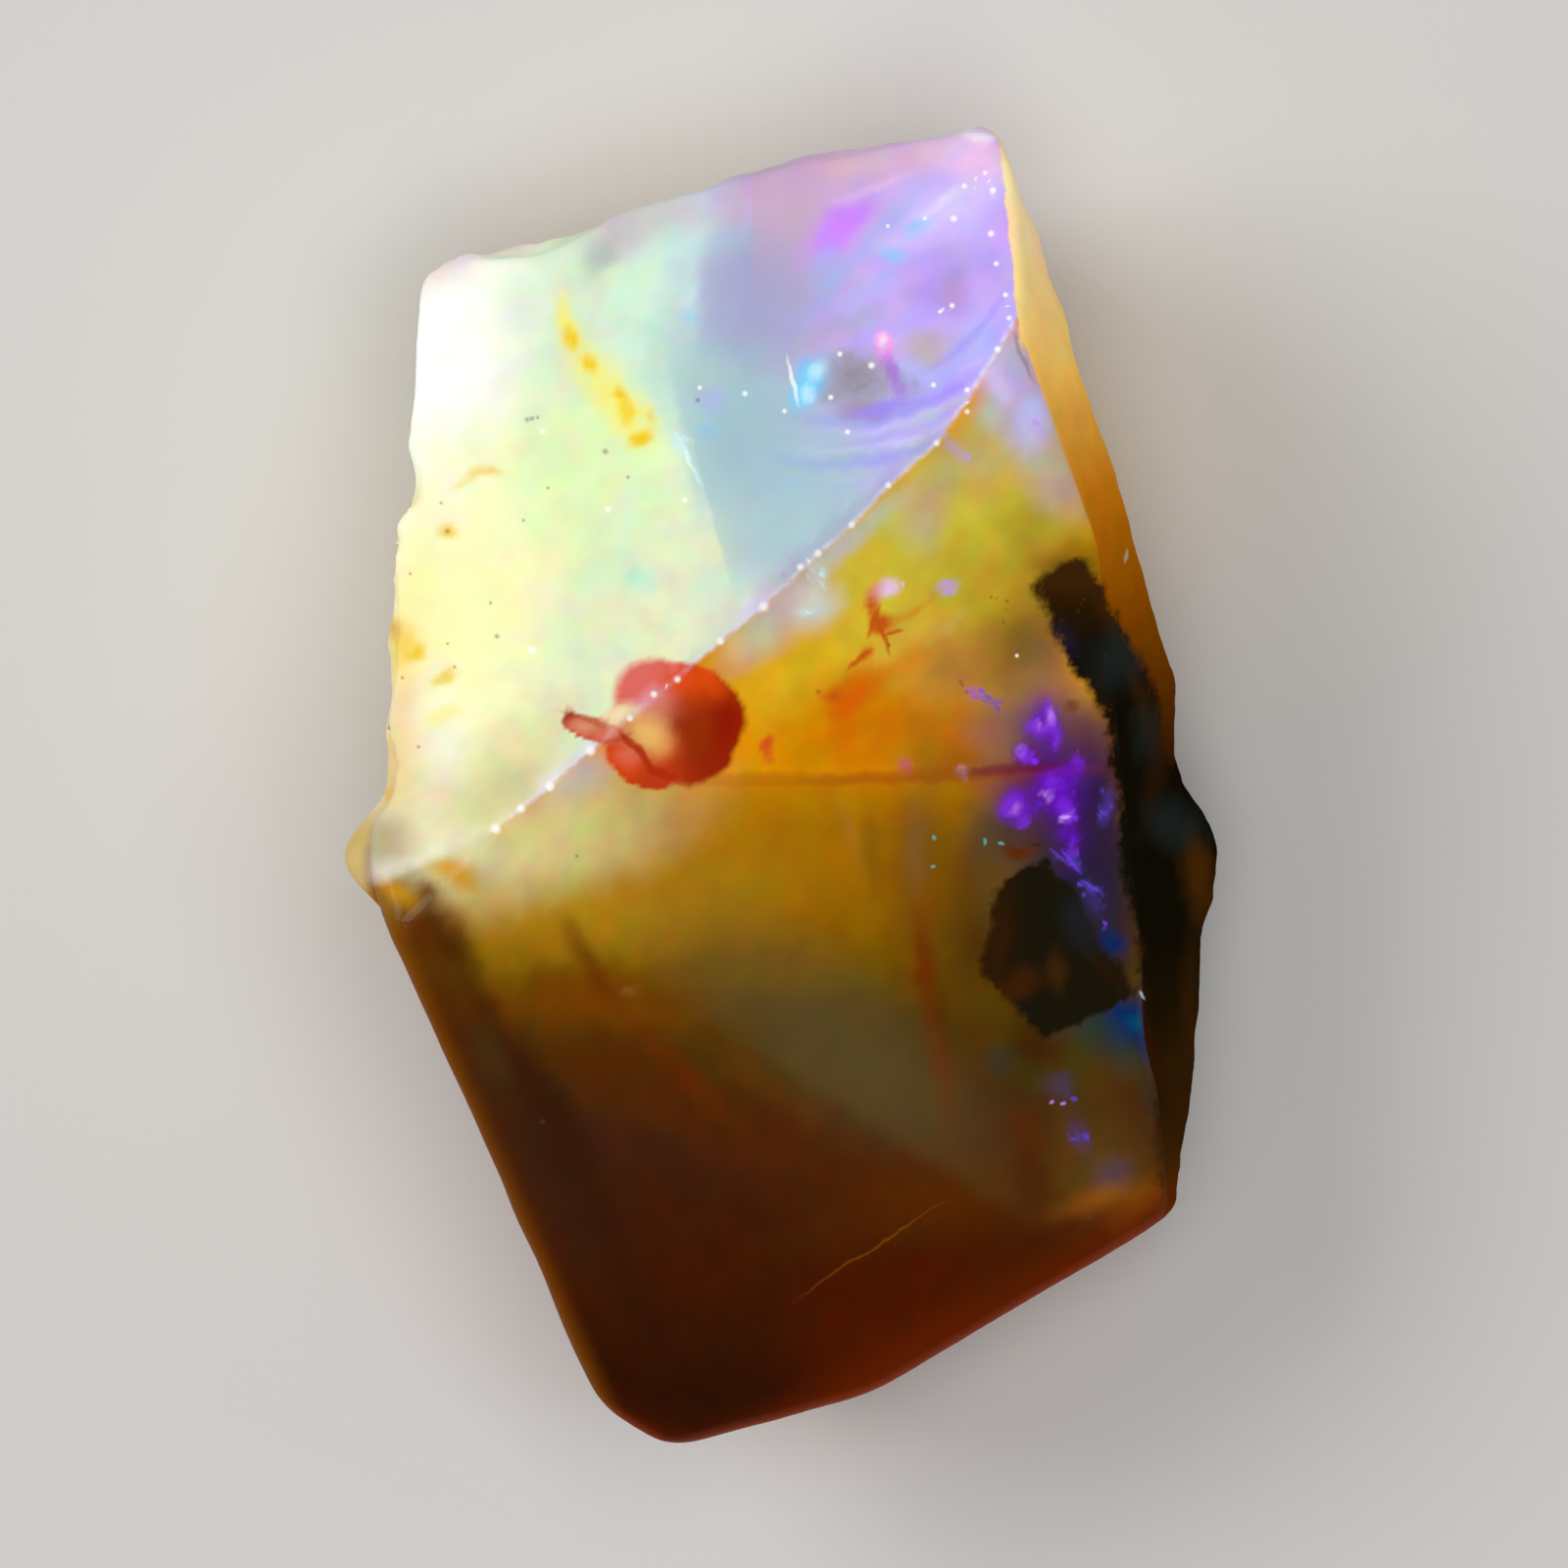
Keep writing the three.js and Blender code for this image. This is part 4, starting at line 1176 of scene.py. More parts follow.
# %% Flashes of fire
FLASHES = [
    # The violet fire: a triangle, a streak, a large patch with a bright sparkle, a blob and streaks
    ("deep violet", (5.17, 1.19), (0.27, 0.39), 4, 0.4, 0.8),
    ("violet", (5.27, 1.31), (0.14, 0.35), 8, 0.4, 1),
    ("violet", (4.98, 1.1), (0.17, 0.17), 0, 0.4, 0.9),
    ("violet", (5.36, 0.88), (0.08, 0.16), 10, 0.4, 0.9),
    ("violet pink", (5.25, 1.39), (0.08, 0.14), 10, 0.5, 0.8),
    ("violet pink", (5.05, 1.15), (0.08, 0.08), 0, 0.5, 0.8),
    ("violet", (4.76, 0.55), (0.23, 0.1), -28, 0.4, 1),
    ("violet pink", (4.67, 0.61), (0.1, 0.06), -28, 0.4, 0.5),
    ("violet", (5.81, 0.38), (0.12, 0.12), 0, 0.4, 1),
    ("deep violet", (5.54, 0.15), (0.39, 0.23), 20, 0.4, 0.8),
    ("deep violet", (5.29, -0.05), (0.39, 0.35), -30, 0.4, 0.9),
    ("violet", (5.34, -0.05), (0.27, 0.19), -40, 0.4, 1),
    ("deep violet", (5.52, -0.4), (0.27, 0.39), 20, 0.4, 0.95),
    ("violet", (5.6, -0.51), (0.17, 0.27), 20, 0.4, 1),
    ("violet pink", (5.56, -0.63), (0.17, 0.08), 10, 0.5, 0.9),
    ("violet pink", (5.19, -0.28), (0.12, 0.06), -40, 0.5, 0.8),
    ("deep violet", (4.55, -0.44), (0.35, 0.31), -30, 0.5, 0.9),
    ("violet", (4.49, -0.4), (0.21, 0.19), 0, 0.4, 1),
    ("violet pink", (4.55, -0.48), (0.08, 0.08), 0, 0.5, 0.8),
    ("violet", (4.74, -0.73), (0.14, 0.1), -30, 0.4, 0.9),
    ("deep violet", (5.6, -0.98), (0.27, 0.19), -30, 0.5, 0.7),
    ("violet", (5.69, -1.31), (0.08, 0.16), 0, 0.4, 0.8),
    ("blue violet", (5.73, -1.54), (0.23, 0.08), -50, 0.4, 0.9),
    ("blue violet", (5.42, -1.43), (0.14, 0.06), -40, 0.4, 0.7),
    ("blue violet", (6.04, -2.01), (0.23, 0.08), -30, 0.5, 0.8),
    ("blue violet", (6.31, -2.8), (0.08, 0.06), -30, 0.4, 0.7),
    ("blue violet", (5.44, -6.02), (0.23, 0.27), 0, 0.8, 0.22),
    ("blue violet", (5.87, -6.97), (0.17, 0.31), 20, 0.8, 0.3),
    # Blue and green
    ("blue violet", (6.35, -0.48), (0.14, 0.43), -8, 0.5, 0.6),
    ("deep blue", (6.8, -5.13), (0.06, 0.06), 0, 0.4, 0.4),
    ("blue violet", (6.08, -2.34), (0.16, 0.31), 25, 0.7, 0.4),
    # Lilac and blue in the pale part of the lower face
    ("lilac", (3.37, 6.61), (0.39, 0.12), -40, 0.5, 0.7),
    ("lilac", (3.17, 3.87), (0.23, 0.14), 20, 0.5, 0.9),
    ("violet", (3.73, 1.78), (0.19, 0.08), -25, 0.5, 0.7),
    ("blue violet", (4.08, 1.64), (0.23, 0.1), -20, 0.5, 0.8),
    ("lilac", (5, 7.03), (0.23, 0.16), -60, 0.5, 0.6),
    ("pink white", (2.18, 3.87), (0.17, 0.17), 30, 0.6, 0.6),
    ("soft violet", (0.11, 4.37), (0.39, 0.23), 40, 0.6, 0.5),
    ("ice", (0.67, 4.14), (0.21, 0.33), 0, 0.7, 0.5),
    ("ice", (0.44, 3.37), (0.19, 0.1), 0, 0.6, 0.6),
    # Flashes in the upper face
    ("ice", (-1.97, 6.59), (0.31, 0.1), -70, 0.8, 0.6),
    ("pale violet", (3.93, 11.67), (0.31, 0.19), 50, 0.9, 0.6),
]

keep("fire", with_ovals(CLEAR, FLASHES, plan))

# %% [markdown]
# Light that enters a milky stone comes out again at its rim, so each rim gets a painted glow in the
# stone's own colour. The rim along a wall is where the wall's plane is near.
# No picture shows the walls, so they follow from the rim above them: milky below the white end, wax
# and amber in the middle, and with a painted ember glow at the dark end, with old rock on the right. Their
# colours are made up, and a few wells of colour spread them: a well gives its colour to the points
# round it, and between wells the colours mix by how near each one is.

# %% The painted rim glow and the walls
RIM_GLOWS = [
    # A colour, the walls that it lies along, how wide it is and how strong
    ("bottom glow", [2], 1.3, 0.6),
    ("bottom glow", [3, 4], 0.8, 0.2),
    ("ember glow", [2, 3, 4], 0.3, 0.75),
    ("rim orange", [5], 0.5, 0.7),
    ("apricot", [6], 0.3, 0.45),
    ("dusty pink", [7, 8], 0.22, 0.6),
    ("soft orange", [0], 0.2, 0.4),
]
WELL_REACH = 0.62
WALL_WELLS = {
    "milk": [(-8, 7), (-6, 10.5), (-1, 11.5), (-8, 2)],
    "grey sage": [(-8.4, -1), (-8.2, -0.4)],
    "dusty pink": [(3, 12.5)],
    "wax": [(-8, 4.8), (-3.5, 11.2), (5, 9), (-8.3, 0.2)],
    "honey": [(6, 6), (-8.1, -2.3)],
    "bronze": [(7.5, 2.5), (-7.8, -3)],
    "rim orange": [(-7.2, -4.2), (-6.4, -6.2), (-5.4, -8.6)],
    "ember glow": [(-4.5, -10.5), (1, -12.5), (5.5, -10)],
    "rust": [(-3, -12.4), (3.4, -11.3)],
    "brown black": [(8.5, -2), (8, 0.4)],
    "dark copper": [(8, -6), (7.6, -8.4)],
}


def clouded(wells):
    """The colours of the wells, each weighed by a bell curve of how far its places are."""
    total, weights = 0, 0
    for name, spots in wells.items():
        shown = np.array(PALETTE[name]) / 255
        for spot in spots:
            away = np.hypot(*(drifting - spot).T)
            weight = np.exp(-0.5 * (away / WELL_REACH) ** 2)
            total = total + weight[:, None] * shown
            weights = weights + weight
    return opaque(total / (weights[:, None] + 1e-30))


def outside(one):
    """How far each point lies out of one of the stone's faces, in millimetres."""
    return (points - (one["point"] + SHIFT)) @ np.array(one["normal"])


# Painted glow along the rims, and below them the walls' own made-up colours
rims = CLEAR
for name, walls, width, strength in RIM_GLOWS:
    for index in walls:
        rims = paint_over(rims, name, strength * step(outside(WALLS[index]), -width, width / 4))
on_wall = step(np.max([outside(one) for one in TOPS], axis=0), -0.9, -3.5)
keep("rims", rims + (clouded(WALL_WELLS) * wavering - rims) * on_wall[:, None])

# %% [markdown]
# Grains, pits and glints are smaller than the gap between two points; the white dots are painted
# glints, where tiny facets would catch the light, and pale grains. But a point can remember where
# the dot next to it is, and how large, and then the material can draw the dot round and crisp. Points
# with no dot near them remember the nearest one, with almost no size.

# %% Dots
GLINTS_AND_GRAINS = [
    # The first three rows are painted glints along the ridge; the rest are glints and pale grains on the faces
    (4.2, 8.55, 0.1), (3, 6.7, 0.1), (2.05, 5.87, 0.1), (1.33, 5.09, 0.1), (0.67, 4.53, 0.11),
    (0.32, 4.26, 0.1), (-0.4, 3.48, 0.14), (-1.25, 2.8, 0.12), (-2.09, 2.05, 0.1), (-2.55, 1.76, 0.1),
    (-3.02, 1.29, 0.1), (-3.79, 0.65, 0.14), (-4.59, -0.05, 0.14), (-5.15, -0.48, 0.12), (-5.64, -0.88, 0.15),
    (3.6, 7.32, 0.08), (3.6, 7.75, 0.08), (-4.76, 6.95, 0.08), (-0.77, 7.69, 0.08), (-1.66, 7.81, 0.07),
    (-3.46, 5.4, 0.09), (-1.95, 5.58, 0.08), (-4.94, 2.63, 0.12), (1.1, 8.47, 0.08), (1.72, 8.24, 0.1),
    (0.92, 7.61, 0.08), (0.01, 7.34, 0.07), (1.25, 6.92, 0.08), (2.94, 7.85, 0.08), (3.35, 11.15, 0.1),
    (4.08, 10.85, 0.1), (4.12, 11.71, 0.1), (3.56, 11.8, 0.08), (4.36, 9.63, 0.08), (4.43, 9.17, 0.08),
    (3.31, 9.42, 0.08), (3.07, 9.3, 0.06), (3.97, 12.06, 0.07), (4.59, 2.53, 0.06), (4.18, 10.25, 0.08),
    (2.78, 11.16, 0.06), (2.05, 11.01, 0.06),
]

PITS = [
    (-5.07, 7.19, 0.08), (-4.86, 7.23, 0.06), (-3.52, 6.55, 0.1), (-1.7, 7.56, 0.08), (-5.64, 2.9, 0.09),
    (-3.07, 6.04, 0.06), (-6.76, 5.54, 0.06), (-6.63, 4.98, 0.08), (-6.47, 2.3, 0.06), (-6.61, 2.76, 0.06),
    (3.6, 1.81, 0.06), (2.07, 2.73, 0.06), (3.48, 2.01, 0.06), (-7.36, 4.14, 0.06), (-4.65, 5.83, 0.06),
    (-5.13, 5.19, 0.06), (-5.77, 3.56, 0.06), (4.08, 3.68, 0.06), (4.32, 3.19, 0.06), (4.39, 3.6, 0.06),
    (-4.74, -6.63, 0.08), (4.96, -1.27, 0.08), (-7.67, -0.05, 0.06), (-7.17, 0.73, 0.06), (-7.5, 2.09, 0.06),
    (-4.06, -1.41, 0.06), (6.06, -8.62, 0.06), (0.67, 1.81, 0.07),
]

DOTS = {"glint_and_grain_dots": GLINTS_AND_GRAINS, "pits": PITS}
DOT_REACH = 0.22
NO_DOT = 0.0005
for name, dots in DOTS.items():
    dots = np.array(dots)
    away = np.hypot(*(points[:, None, :2] - dots[None, :, :2]).transpose(2, 0, 1))
    remembered = dots[away.argmin(axis=1)]
    remembered[:, 2] *= away.min(axis=1) < DOT_REACH
    remembered[:, 2] += NO_DOT
    attribute = stone.data.attributes.new(name, "FLOAT_VECTOR", "POINT")
    attribute.data.foreach_set("vector", remembered.ravel())
    print(len(dots), name)

# %% [markdown]
# The material takes over from here. A node tree is easier to read and to change when it is written as
# formulas. These helpers add one node each to the tree, and hand back what comes out of it: a number,
# a vector or a colour. Whatever goes in may be such an output, which is linked, or a plain value,
# which is set.

# %% Nodes as formulas
opal = bpy.data.materials.new("fire_opal")
opal.use_nodes = True
tree = opal.node_tree
shader = tree.nodes["Principled BSDF"]


def feed(socket, value):
    if isinstance(value, bpy.types.NodeSocket):
        tree.links.new(value, socket)
    else:
        socket.default_value = value


def add(kind, *values, **settings):
    """Adds a node with these settings, and feeds its inputs in their order."""
    node = tree.nodes.new(kind)
    for setting, value in settings.items():
        setattr(node, setting, value)
    for socket, value in zip([one for one in node.inputs if one.enabled], values):
        feed(socket, value)
    return node


def out(node):
    return next(one for one in node.outputs if one.enabled)


def calc(operation, *values):
    return out(add("ShaderNodeMath", *values, operation=operation))


def vector(operation, *values):
    return out(add("ShaderNodeVectorMath", *values, operation=operation))


def ramp(value, low, high, to_low=0, to_high=1):
    """A smooth step: to_low where the value is at low, to_high where it is at high."""
    return out(add("ShaderNodeMapRange", value, low, high, to_low, to_high, interpolation_type="SMOOTHSTEP"))


def paint(under, over, amount):
    """Lays one colour over another, as thickly as the amount says."""
    under, over = [tint(one) if isinstance(one, str) else one for one in (under, over)]
    return out(add("ShaderNodeMix", amount, under, over, data_type="RGBA"))


def rough(place, size, detail=2, roughness=0.5):
    return add("ShaderNodeTexNoise", place, 1 / size, detail, roughness)


def parts(of_vector):
    return add("ShaderNodeSeparateXYZ", of_vector).outputs


def kept(name):
    return add("ShaderNodeAttribute", attribute_name=name).outputs


# %% [markdown]
# The material works in millimetres too: Object coordinates are in metres and start at the origin, so
# they are scaled up. The lines that it draws in the plan are pushed about by fine noise, and a second
# noise frays the borders of what was painted on the points.

# %% Places
place = vector("SCALE", add("ShaderNodeTexCoord").outputs["Object"])
tree.nodes[-1].inputs["Scale"].default_value = 1 / MM
push = vector("SUBTRACT", rough(place, 0.5, 3, 0.55).outputs["Color"], (0.5, 0.5, 0.5))
lines = vector("MULTIPLY_ADD", push, (0.22, 0.22, 0.22), place)
lines = vector("MULTIPLY_ADD", lines, (1, 1, 0), (0, 0, 1))
mottling = calc("MULTIPLY_ADD", rough(place, 0.22, 3, 0.6).outputs[0], 3, -1.5)


def inside(middle, size, turn, soft, strength=1, ragged=0):
    """How far inside an oval in the plan a place lies: the strength well inside it, 0 outside."""
    cos, sin = math.cos(math.radians(turn)), math.sin(math.radians(turn))
    squares = ragged
    for (x, y), half in zip(((cos, sin), (-sin, cos)), size):
        across = (x / half, y / half, -(x * middle[0] + y * middle[1]) / half)
        offset = vector("DOT_PRODUCT", lines, across)
        squares = calc("MULTIPLY_ADD", offset, offset, squares)
    return ramp(squares, (1 + soft) ** 2, (1 - soft) ** 2, 0, strength)


def past(point, bearing):
    """How far a place lies past a line in the plan, towards this bearing."""
    turn = math.radians(bearing)
    towards = (math.cos(turn), math.sin(turn))
    return vector("DOT_PRODUCT", lines, (*towards, -towards[0] * point[0] - towards[1] * point[1]))


def laid_over(body, name, fray, low, high):
    """Lays a painting that is partly clear over the body, and frays its borders."""
    painting = kept(name)
    colour = vector("DIVIDE", painting["Color"], painting["Alpha"])
    frayed = calc("MULTIPLY", mottling, ramp(painting["Alpha"], 0, 0.1, 0, fray))
    covers = calc("ADD", painting["Alpha"], frayed)
    return paint(body, colour, ramp(covers, low, high))


# %% [markdown]
# A face ends where the next one lies further out, so the difference of two distances draws a crisp
# border right along the edge.

# %% Distances from the faces


def gap(one):
    """How far a place lies out of one of the stone's faces, in millimetres."""
    through = (one["point"] + SHIFT).dot(one["normal"])
    return calc("SUBTRACT", vector("DOT_PRODUCT", place, tuple(one["normal"])), through)


out_of_upper, out_of_lower, out_of_sliver, out_of_skin = [gap(one) for one in TOPS]
out_of_both = calc("MAXIMUM", out_of_upper, out_of_lower)
past_sliver = calc("SUBTRACT", out_of_sliver, out_of_both)
past_skin = calc("SUBTRACT", out_of_skin, calc("MAXIMUM", out_of_sliver, out_of_both))
out_of_top = calc("MAXIMUM", out_of_skin, calc("MAXIMUM", out_of_sliver, out_of_both))

# %% [markdown]
# Inside the opal lie sheets of colour that end at a straight crack. A sheet is an oval that is cut off
# along a line: a point that the line goes through and the bearing towards which the sheet lies.
# The lower face's colours go on a little way past the left end of the ridge.

# %% Sheets, and joining the faces
UPPER_SHEETS = [
    ("rose block", (-0.3, 11.3), (0.78, 1.28), 0, 0.8, 0.65, (-0.61, 11.01), 0, 0.06),
    ("lavender block", (-0.8, 9.5), (1.09, 0.89), 0, 0.8, 0.7, (-1.68, 9.46), 0, 0.17),
    ("blue block", (-0.3, 5.8), (1.63, 1.44), 20, 0.6, 0.6, (-1.5, 5.58), 15, 0.06),
    ("blue block", (-1.1, 7.3), (1.16, 1.2), 0, 0.6, 0.5, (-2.05, 7.13), 10, 0.12),
]

LOWER_SHEETS = [
    ("haze sheet", (1, -5.4), (3.1, 1.2), -40, 0.9, 0.34, (-1.12, -4.86), 57, 0.27),
    ("amber shade", (0.3, -1.3), (2.91, 1.4), 0, 0.9, 0.32, (1.95, 0.16), 270, 0.06),
]

KNOB_LINE = ((-5.64, -0.92), -67)
SLIVER_LINE = ((4.28, 12.56), 5)


def sheeted(colour, sheets):
    """Paints sheets over a colour: an oval each, and the line that cuts it off."""
    for name, *oval, point, bearing, edge_softness in sheets:
        cut = ramp(past(point, bearing), -edge_softness, edge_softness)
        colour = paint(colour, name, calc("MULTIPLY", inside(*oval), cut))
    return colour


upper_colour = sheeted(kept("upper_clouds")["Color"], UPPER_SHEETS)
lower_colour = sheeted(kept("lower_clouds")["Color"], LOWER_SHEETS)
below_ridge = kept("below_ridge")["Fac"]
on_lower = calc("MAXIMUM", ramp(below_ridge, -0.03, 0.03), ramp(past(*KNOB_LINE), -0.18, 0.18))
body = paint(upper_colour, lower_colour, on_lower)
on_sliver = ramp(calc("MAXIMUM", past_sliver, past_skin), -0.03, 0.03)
at_the_corner = ramp(parts(place)[1], 8.4, 8.9)
on_sliver = calc("MAXIMUM", on_sliver, calc("MULTIPLY", ramp(past(*SLIVER_LINE), -0.03, 0.03), at_the_corner))
body = paint(body, kept("sliver_clouds")["Color"], on_sliver)

# %% [markdown]
# Thin lines are too fine for the points: healed cracks, creases and hairs. The crumbs of a flash are
# cells of a Voronoi texture that are drawn out along one direction. A random number decides for each
# cell how much fire it takes to light it, and another how bright it is.

# %% Stains, cracks and fire
CRACKS = [
    ("red line", (0, 0.1), (1.84, 0.1), 0.5, 0.95, 0.24),
    ("red line", (3.6, 0.2), (1.94, 0.1), 2.5, 0.95, 0.32),
    ("crimson", (4.5, 0.3), (0.74, 0.08), 4, 0.95, 0.5),
    ("dark mauve", (4.69, 8.45), (0.41, 0.04), -67, 0.7, 0.4),
    ("copper", (1.7, -9.2), (1.16, 0.02), 33, 0.9, 0.3),
    ("white", (0.16, 7.94), (0.35, 0.03), -77, 0.8, 0.7),
    ("white", (-1.89, 6.43), (0.21, 0.03), -66, 0.9, 0.5),
    ("ice", (-1.7, 6.04), (0.19, 0.03), -60, 0.9, 0.5),
    # The pale marks on the right side below are painted glints where chips catch the light
    ("ice", (7.09, -4.2), (0.08, 0.02), -60, 0.8, 0.7),
    ("ice", (7.96, -1.08), (0.17, 0.03), -38, 0.7, 0.5),
    ("warm grey", (6.78, 4.51), (0.12, 0.03), 80, 0.7, 0.7),
    ("warm grey", (8.24, -5.13), (0.27, 0.02), 55, 0.9, 0.5),
    ("warm grey", (8.2, -3.06), (0.27, 0.02), 95, 0.9, 0.5),
    # Twigs of the red growth
    ("dendrite", (1.99, 2.86), (0.27, 0.04), -70, 0.7, 0.8),
    ("dendrite", (2.14, 2.98), (0.16, 0.04), 15, 0.7, 0.8),
    ("dendrite", (1.76, 3.21), (0.27, 0.04), 70, 0.7, 0.8),
    ("dendrite", (1.48, 2.43), (0.23, 0.04), 40, 0.7, 0.8),
    # Single sparks
    ("teal", (3.95, -1.12), (0.03, 0.05), 0, 0.9, 0.6),
    ("teal", (4.28, -1.17), (0.03, 0.03), 0, 0.9, 0.6),
    ("teal", (2.96, -1.06), (0.03, 0.03), 0, 0.9, 0.5),
    ("teal", (2.94, -1.62), (0.03, 0.03), 0, 0.9, 0.6),
    ("pink white", (5.56, -0.65), (0.08, 0.03), 10, 0.9, 1),
    ("violet pink", (5.27, 1.31), (0.05, 0.14), 8, 0.9, 0.7),
    ("violet", (5.69, -1.5), (0.21, 0.03), -52, 0.9, 0.7),
    ("blue violet", (5.44, -1.39), (0.17, 0.03), -40, 0.9, 0.6),
    ("blue violet", (6.06, -2.03), (0.17, 0.03), -32, 0.9, 0.8),
    ("violet", (6.31, -2.8), (0.04, 0.03), -30, 0.9, 0.8),
    ("violet pink", (5.31, -6.28), (0.03, 0.03), 0, 0.9, 0.8),
    ("violet pink", (5.54, -6.35), (0.04, 0.03), 0, 0.9, 0.8),
    ("blue violet", (5.75, -6.24), (0.04, 0.04), 0, 0.9, 0.9),
]

HOOK = [
    ("salmon", (-3.44, 0.98), (0.23, 0.1), 8, 0.8, 0.55),
    ("hook red", (-3.23, 0.92), (0.19, 0.04), 20, 0.9, 0.5),
    ("hook red", (-3, 0.82), (0.25, 0.06), -42, 0.8, 0.9),
    ("hook red", (-2.71, 0.48), (0.23, 0.06), -56, 0.8, 0.9),
    ("hook red", (-2.34, 0.18), (0.31, 0.07), -24, 0.8, 0.8),
    ("inclusion dark", (-3.85, 1.27), (0.39, 0.04), -18, 0.9, 0.35),
]

CRUMB = 0.11
CRUMB_ALONG = (0.72, -0.69, 0)
CRUMB_ACROSS = (0.69, 0.72, 0)


def cells(at, size):
    """How far each place is from the middle of its cell, and a random colour for the cell."""
    node = add("ShaderNodeTexVoronoi")
    feed(node.inputs["Vector"], at)
    feed(node.inputs["Scale"], 1 / size)
    return node.outputs["Distance"], parts(node.outputs["Color"])


body = laid_over(body, "stains", 0.14, 0.06, 0.95)
for name, *crack in CRACKS:
    body = paint(body, name, inside(*crack))

along = vector("DOT_PRODUCT", place, CRUMB_ALONG)
across = vector("DOT_PRODUCT", place, CRUMB_ACROSS)
drawn_out = out(add("ShaderNodeCombineXYZ", calc("MULTIPLY", along, 0.65), across, 0))
from_middle, chance = cells(drawn_out, CRUMB)
fire = kept("fire")
lit = ramp(calc("SUBTRACT", fire["Alpha"], calc("MULTIPLY", chance[0], 0.8)), -0.02, 0.16)
lit = calc("MULTIPLY", lit, calc("MULTIPLY_ADD", chance[1], 0.65, 0.35))
lit = calc("MULTIPLY", lit, ramp(from_middle, 0.75, 0.2, 0.3, 1))
lit = calc("MAXIMUM", lit, ramp(fire["Alpha"], 0, 1.2, 0, 0.7))
body = paint(body, vector("DIVIDE", fire["Color"], fire["Alpha"]), lit)

body = laid_over(body, "blotch", 0.35, 0.15, 0.85)
body = laid_over(body, "inclusion", 0.08, 0.2, 0.8)
for name, *line in HOOK:
    body = paint(body, name, inside(*line))
body = laid_over(body, "skin_clouds", 0.35, 0.1, 0.9)

# The painted rim glow and the walls' colours lie over everything else
rims = kept("rims")
uncovered = calc("SUBTRACT", 1, rims["Alpha"])
body = vector("MULTIPLY_ADD", body, out(add("ShaderNodeCombineXYZ", uncovered, uncovered, uncovered)), rims["Color"])

# %% [markdown]
# The ridge is bruised to a thin, broken white line, which is partly the crushed edge and partly a painted
# highlight, and dots are drawn where the points remember them.

# %% The ridge and the dots
def dotted(name):
    """Round dots where the points remember them: 1 in the middle of a dot, 0 at its edge."""
    dot = kept(name)["Vector"]
    radius = parts(dot)[2]
    here = vector("MULTIPLY", place, (1, 1, 0))
    away = vector("DISTANCE", here, vector("MULTIPLY", dot, (1, 1, 0)))
    return ramp(calc("DIVIDE", away, radius), 1, 0)


# A painted highlight along the crushed ridge, broken up by noise
near_ridge = ramp(calc("ABSOLUTE", below_ridge), 0.1, 0)
on_top = ramp(out_of_both, -0.3, -0.1)
broken_highlight = ramp(mottling, -0.5, 0.6, 0.15, 0.75)
right_of_knob = ramp(parts(place)[0], -5.7, -5.2)
left_of_sliver = ramp(past_sliver, -0.05, -0.25)
ridge = calc("MULTIPLY", calc("MULTIPLY", near_ridge, on_top), calc("MULTIPLY", broken_highlight, left_of_sliver))
off_inclusion = ramp(kept("inclusion")["Alpha"], 0.4, 0.8, 1, 0.25)
body = paint(body, "crushed ridge and highlight", calc("MULTIPLY", calc("MULTIPLY", ridge, right_of_knob), off_inclusion))

body = paint(body, "pit brown", calc("MULTIPLY", dotted("pits"), calc("MULTIPLY", on_top, 0.55)))
# Painted glints: white dots where tiny facets catch the light, and pale grains
body = paint(body, "white", calc("MULTIPLY", dotted("glint_and_grain_dots"), calc("MULTIPLY", on_top, 0.95)))

# %% [markdown]
# The colour shines from inside the stone as well as from its surface: part of it is given off as a
# weak painted glow, an emission of the same colour, and light is let in a little way under the surface.

# %% Putting the opal together
feed(shader.inputs["Base Color"], body)
# A painted glow: the body colour is given off weakly as emission
feed(shader.inputs["Emission Color"], body)
shader.inputs["Emission Strength"].default_value = 0.22
shader.inputs["Roughness"].default_value = 0.3
shader.inputs["IOR"].default_value = 1.45
shader.inputs["Specular IOR Level"].default_value = 0
polished = calc("MULTIPLY", ramp(out_of_top, -1.2, -0.3), calc("SUBTRACT", 1, on_sliver))
feed(shader.inputs["Coat Weight"], calc("MULTIPLY", polished, 0.15))
shader.inputs["Subsurface Weight"].default_value = 0.25
shader.inputs["Subsurface Radius"].default_value = (1.0, 0.6, 0.35)
shader.inputs["Subsurface Scale"].default_value = 0.6 * MM
stone.data.materials.clear()
stone.data.materials.append(opal)
print("the opal's material has", len(tree.nodes), "nodes")
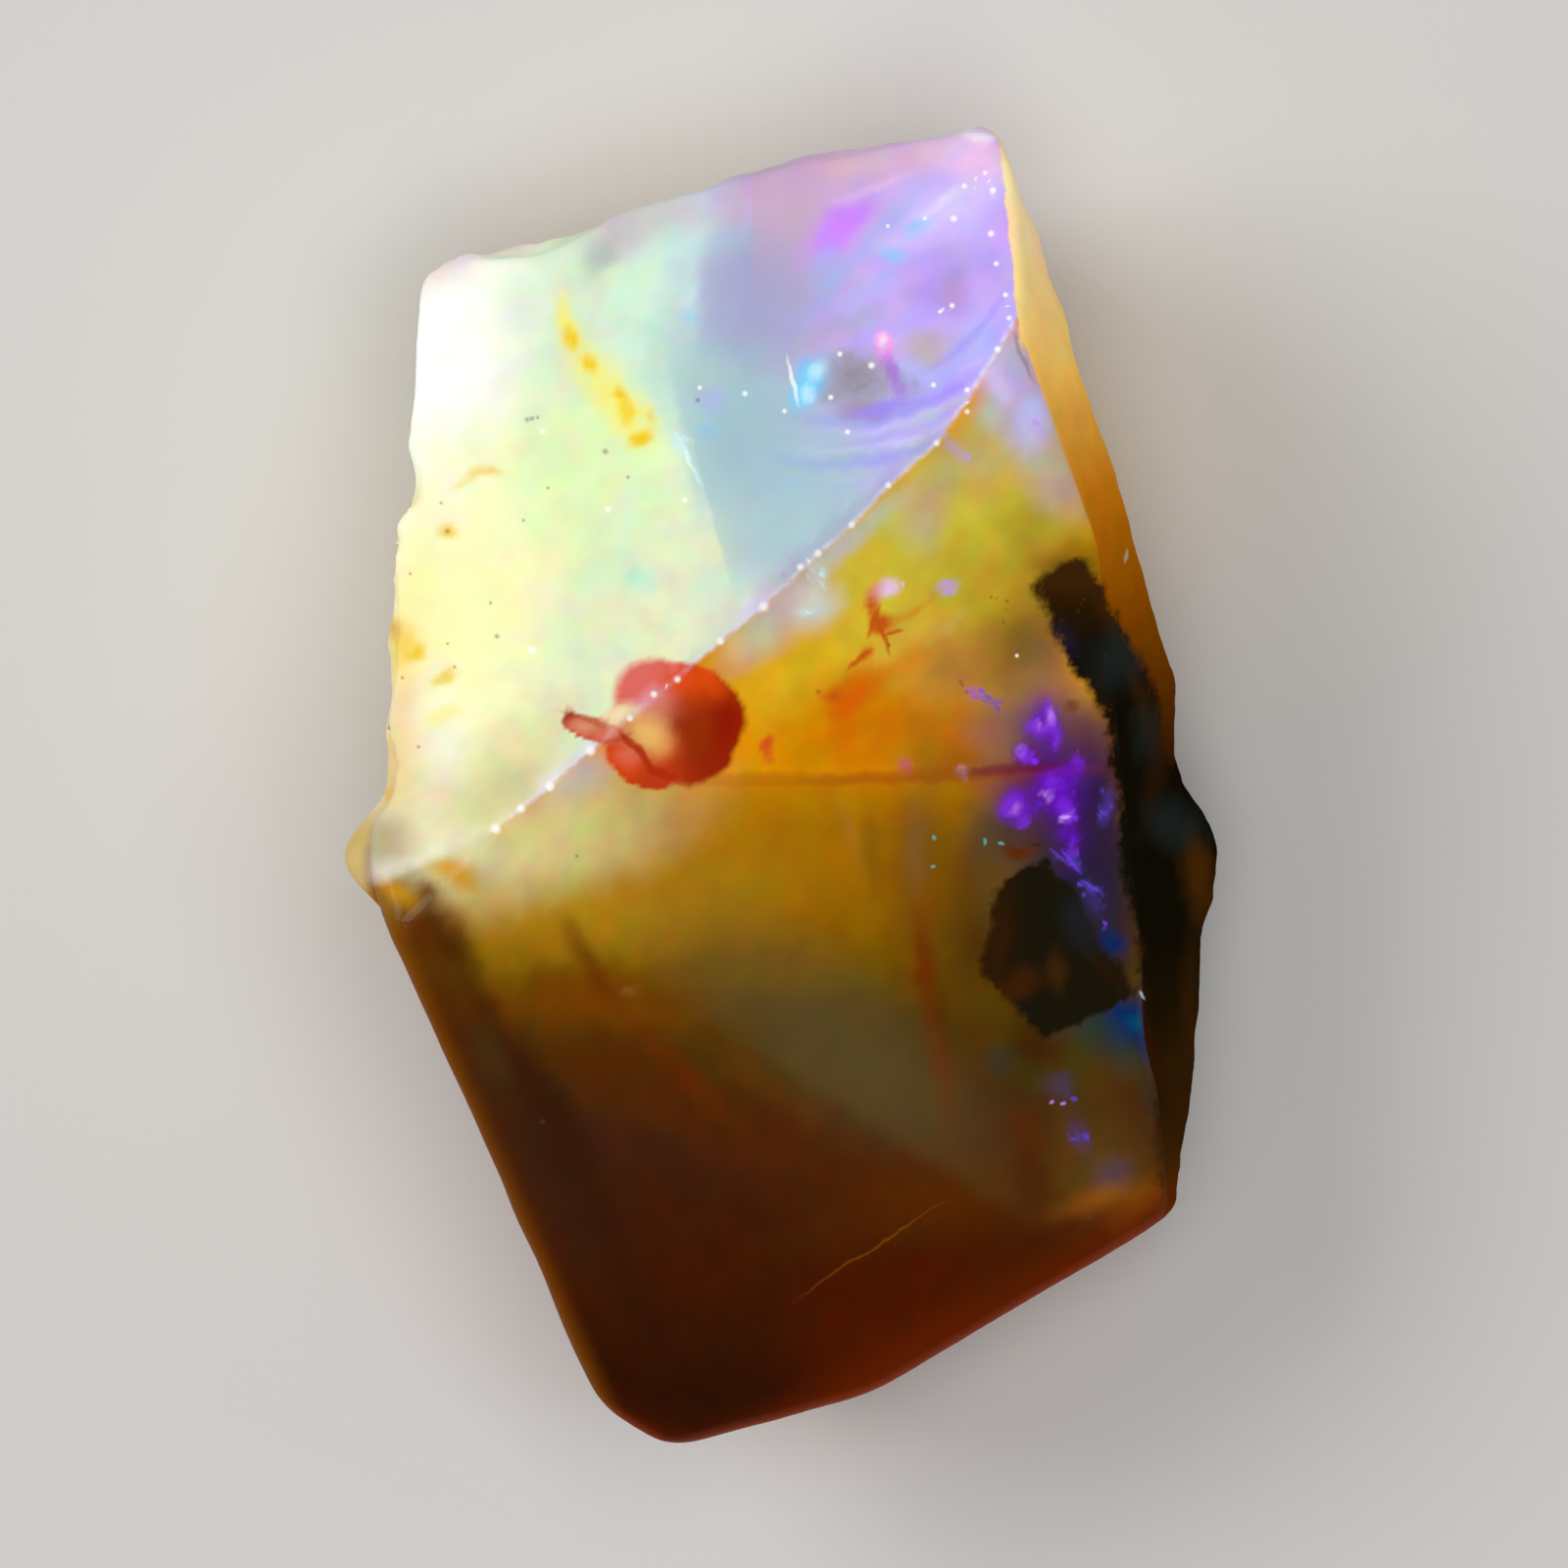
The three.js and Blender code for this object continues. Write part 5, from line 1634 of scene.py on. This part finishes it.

# %% [markdown]
# The floor is plain and pale. The light is that of a small studio: a wide soft light at the upper left,
# as in the picture of the stone, a stronger soft light overhead, and a strip low on the right that
# glows through the rim. None of them stands where a top face would mirror it into the camera.

# %% Floor and lights
FLOOR_SIZE = 1.2
floor_paint = bpy.data.materials.new("pale_floor")
floor_paint.use_nodes = True
floor_shader = floor_paint.node_tree.nodes["Principled BSDF"]
floor_shader.inputs["Base Color"].default_value = (0.74, 0.73, 0.71, 1)
floor_shader.inputs["Roughness"].default_value = 0.8

deselect()
bpy.ops.mesh.primitive_plane_add(size=FLOOR_SIZE, location=(0, 0, 0))
floor = bpy.context.object
floor.name = "floor"
floor.data.materials.append(floor_paint)

world = bpy.data.worlds.new("dim_studio")
world.use_nodes = True
world.node_tree.nodes["Background"].inputs["Color"].default_value = (0.1, 0.1, 0.1, 1)
bpy.context.scene.world = world


def soft_light(name, place, size, power, tint=(1, 1, 1)):
    lamp = bpy.data.lights.new(name, "AREA")
    lamp.size = size
    lamp.energy = power
    lamp.color = tint
    light = bpy.data.objects.new(name, lamp)
    light.location = place
    light.rotation_euler = (-Vector(place)).to_track_quat("-Z", "Y").to_euler()
    bpy.context.collection.objects.link(light)
    return light


soft_light("key", (-0.34, 0.14, 0.36), 0.3, 1.15)
soft_light("overhead", (0.04, -0.04, 0.6), 0.3, 1.7)
soft_light("rim", (0.4, 0.1, 0.12), 0.2, 0.12, (1, 0.93, 0.85))

# %% [markdown]
# The camera looks straight down, with the photograph's up along +Y. It is far away and has a long
# lens, as for a macro picture, so the stone's high middle isn't drawn larger than its rim.

# %% Camera
FRAME_WIDTH = 1600 * 0.0194 * MM
CAMERA_HEIGHT = 0.45
RIM_HEIGHT = 8 * MM

lens = bpy.data.cameras.new("camera")
lens.sensor_width = 36
lens.lens = lens.sensor_width * (CAMERA_HEIGHT - RIM_HEIGHT) / FRAME_WIDTH
lens.clip_start = 0.01
camera = bpy.data.objects.new("camera", lens)
camera.location = (0, 0, CAMERA_HEIGHT)
bpy.context.collection.objects.link(camera)
bpy.context.scene.camera = camera
bpy.context.scene.view_settings.view_transform = "Standard"
print("the lens is", round(lens.lens), "mm long")
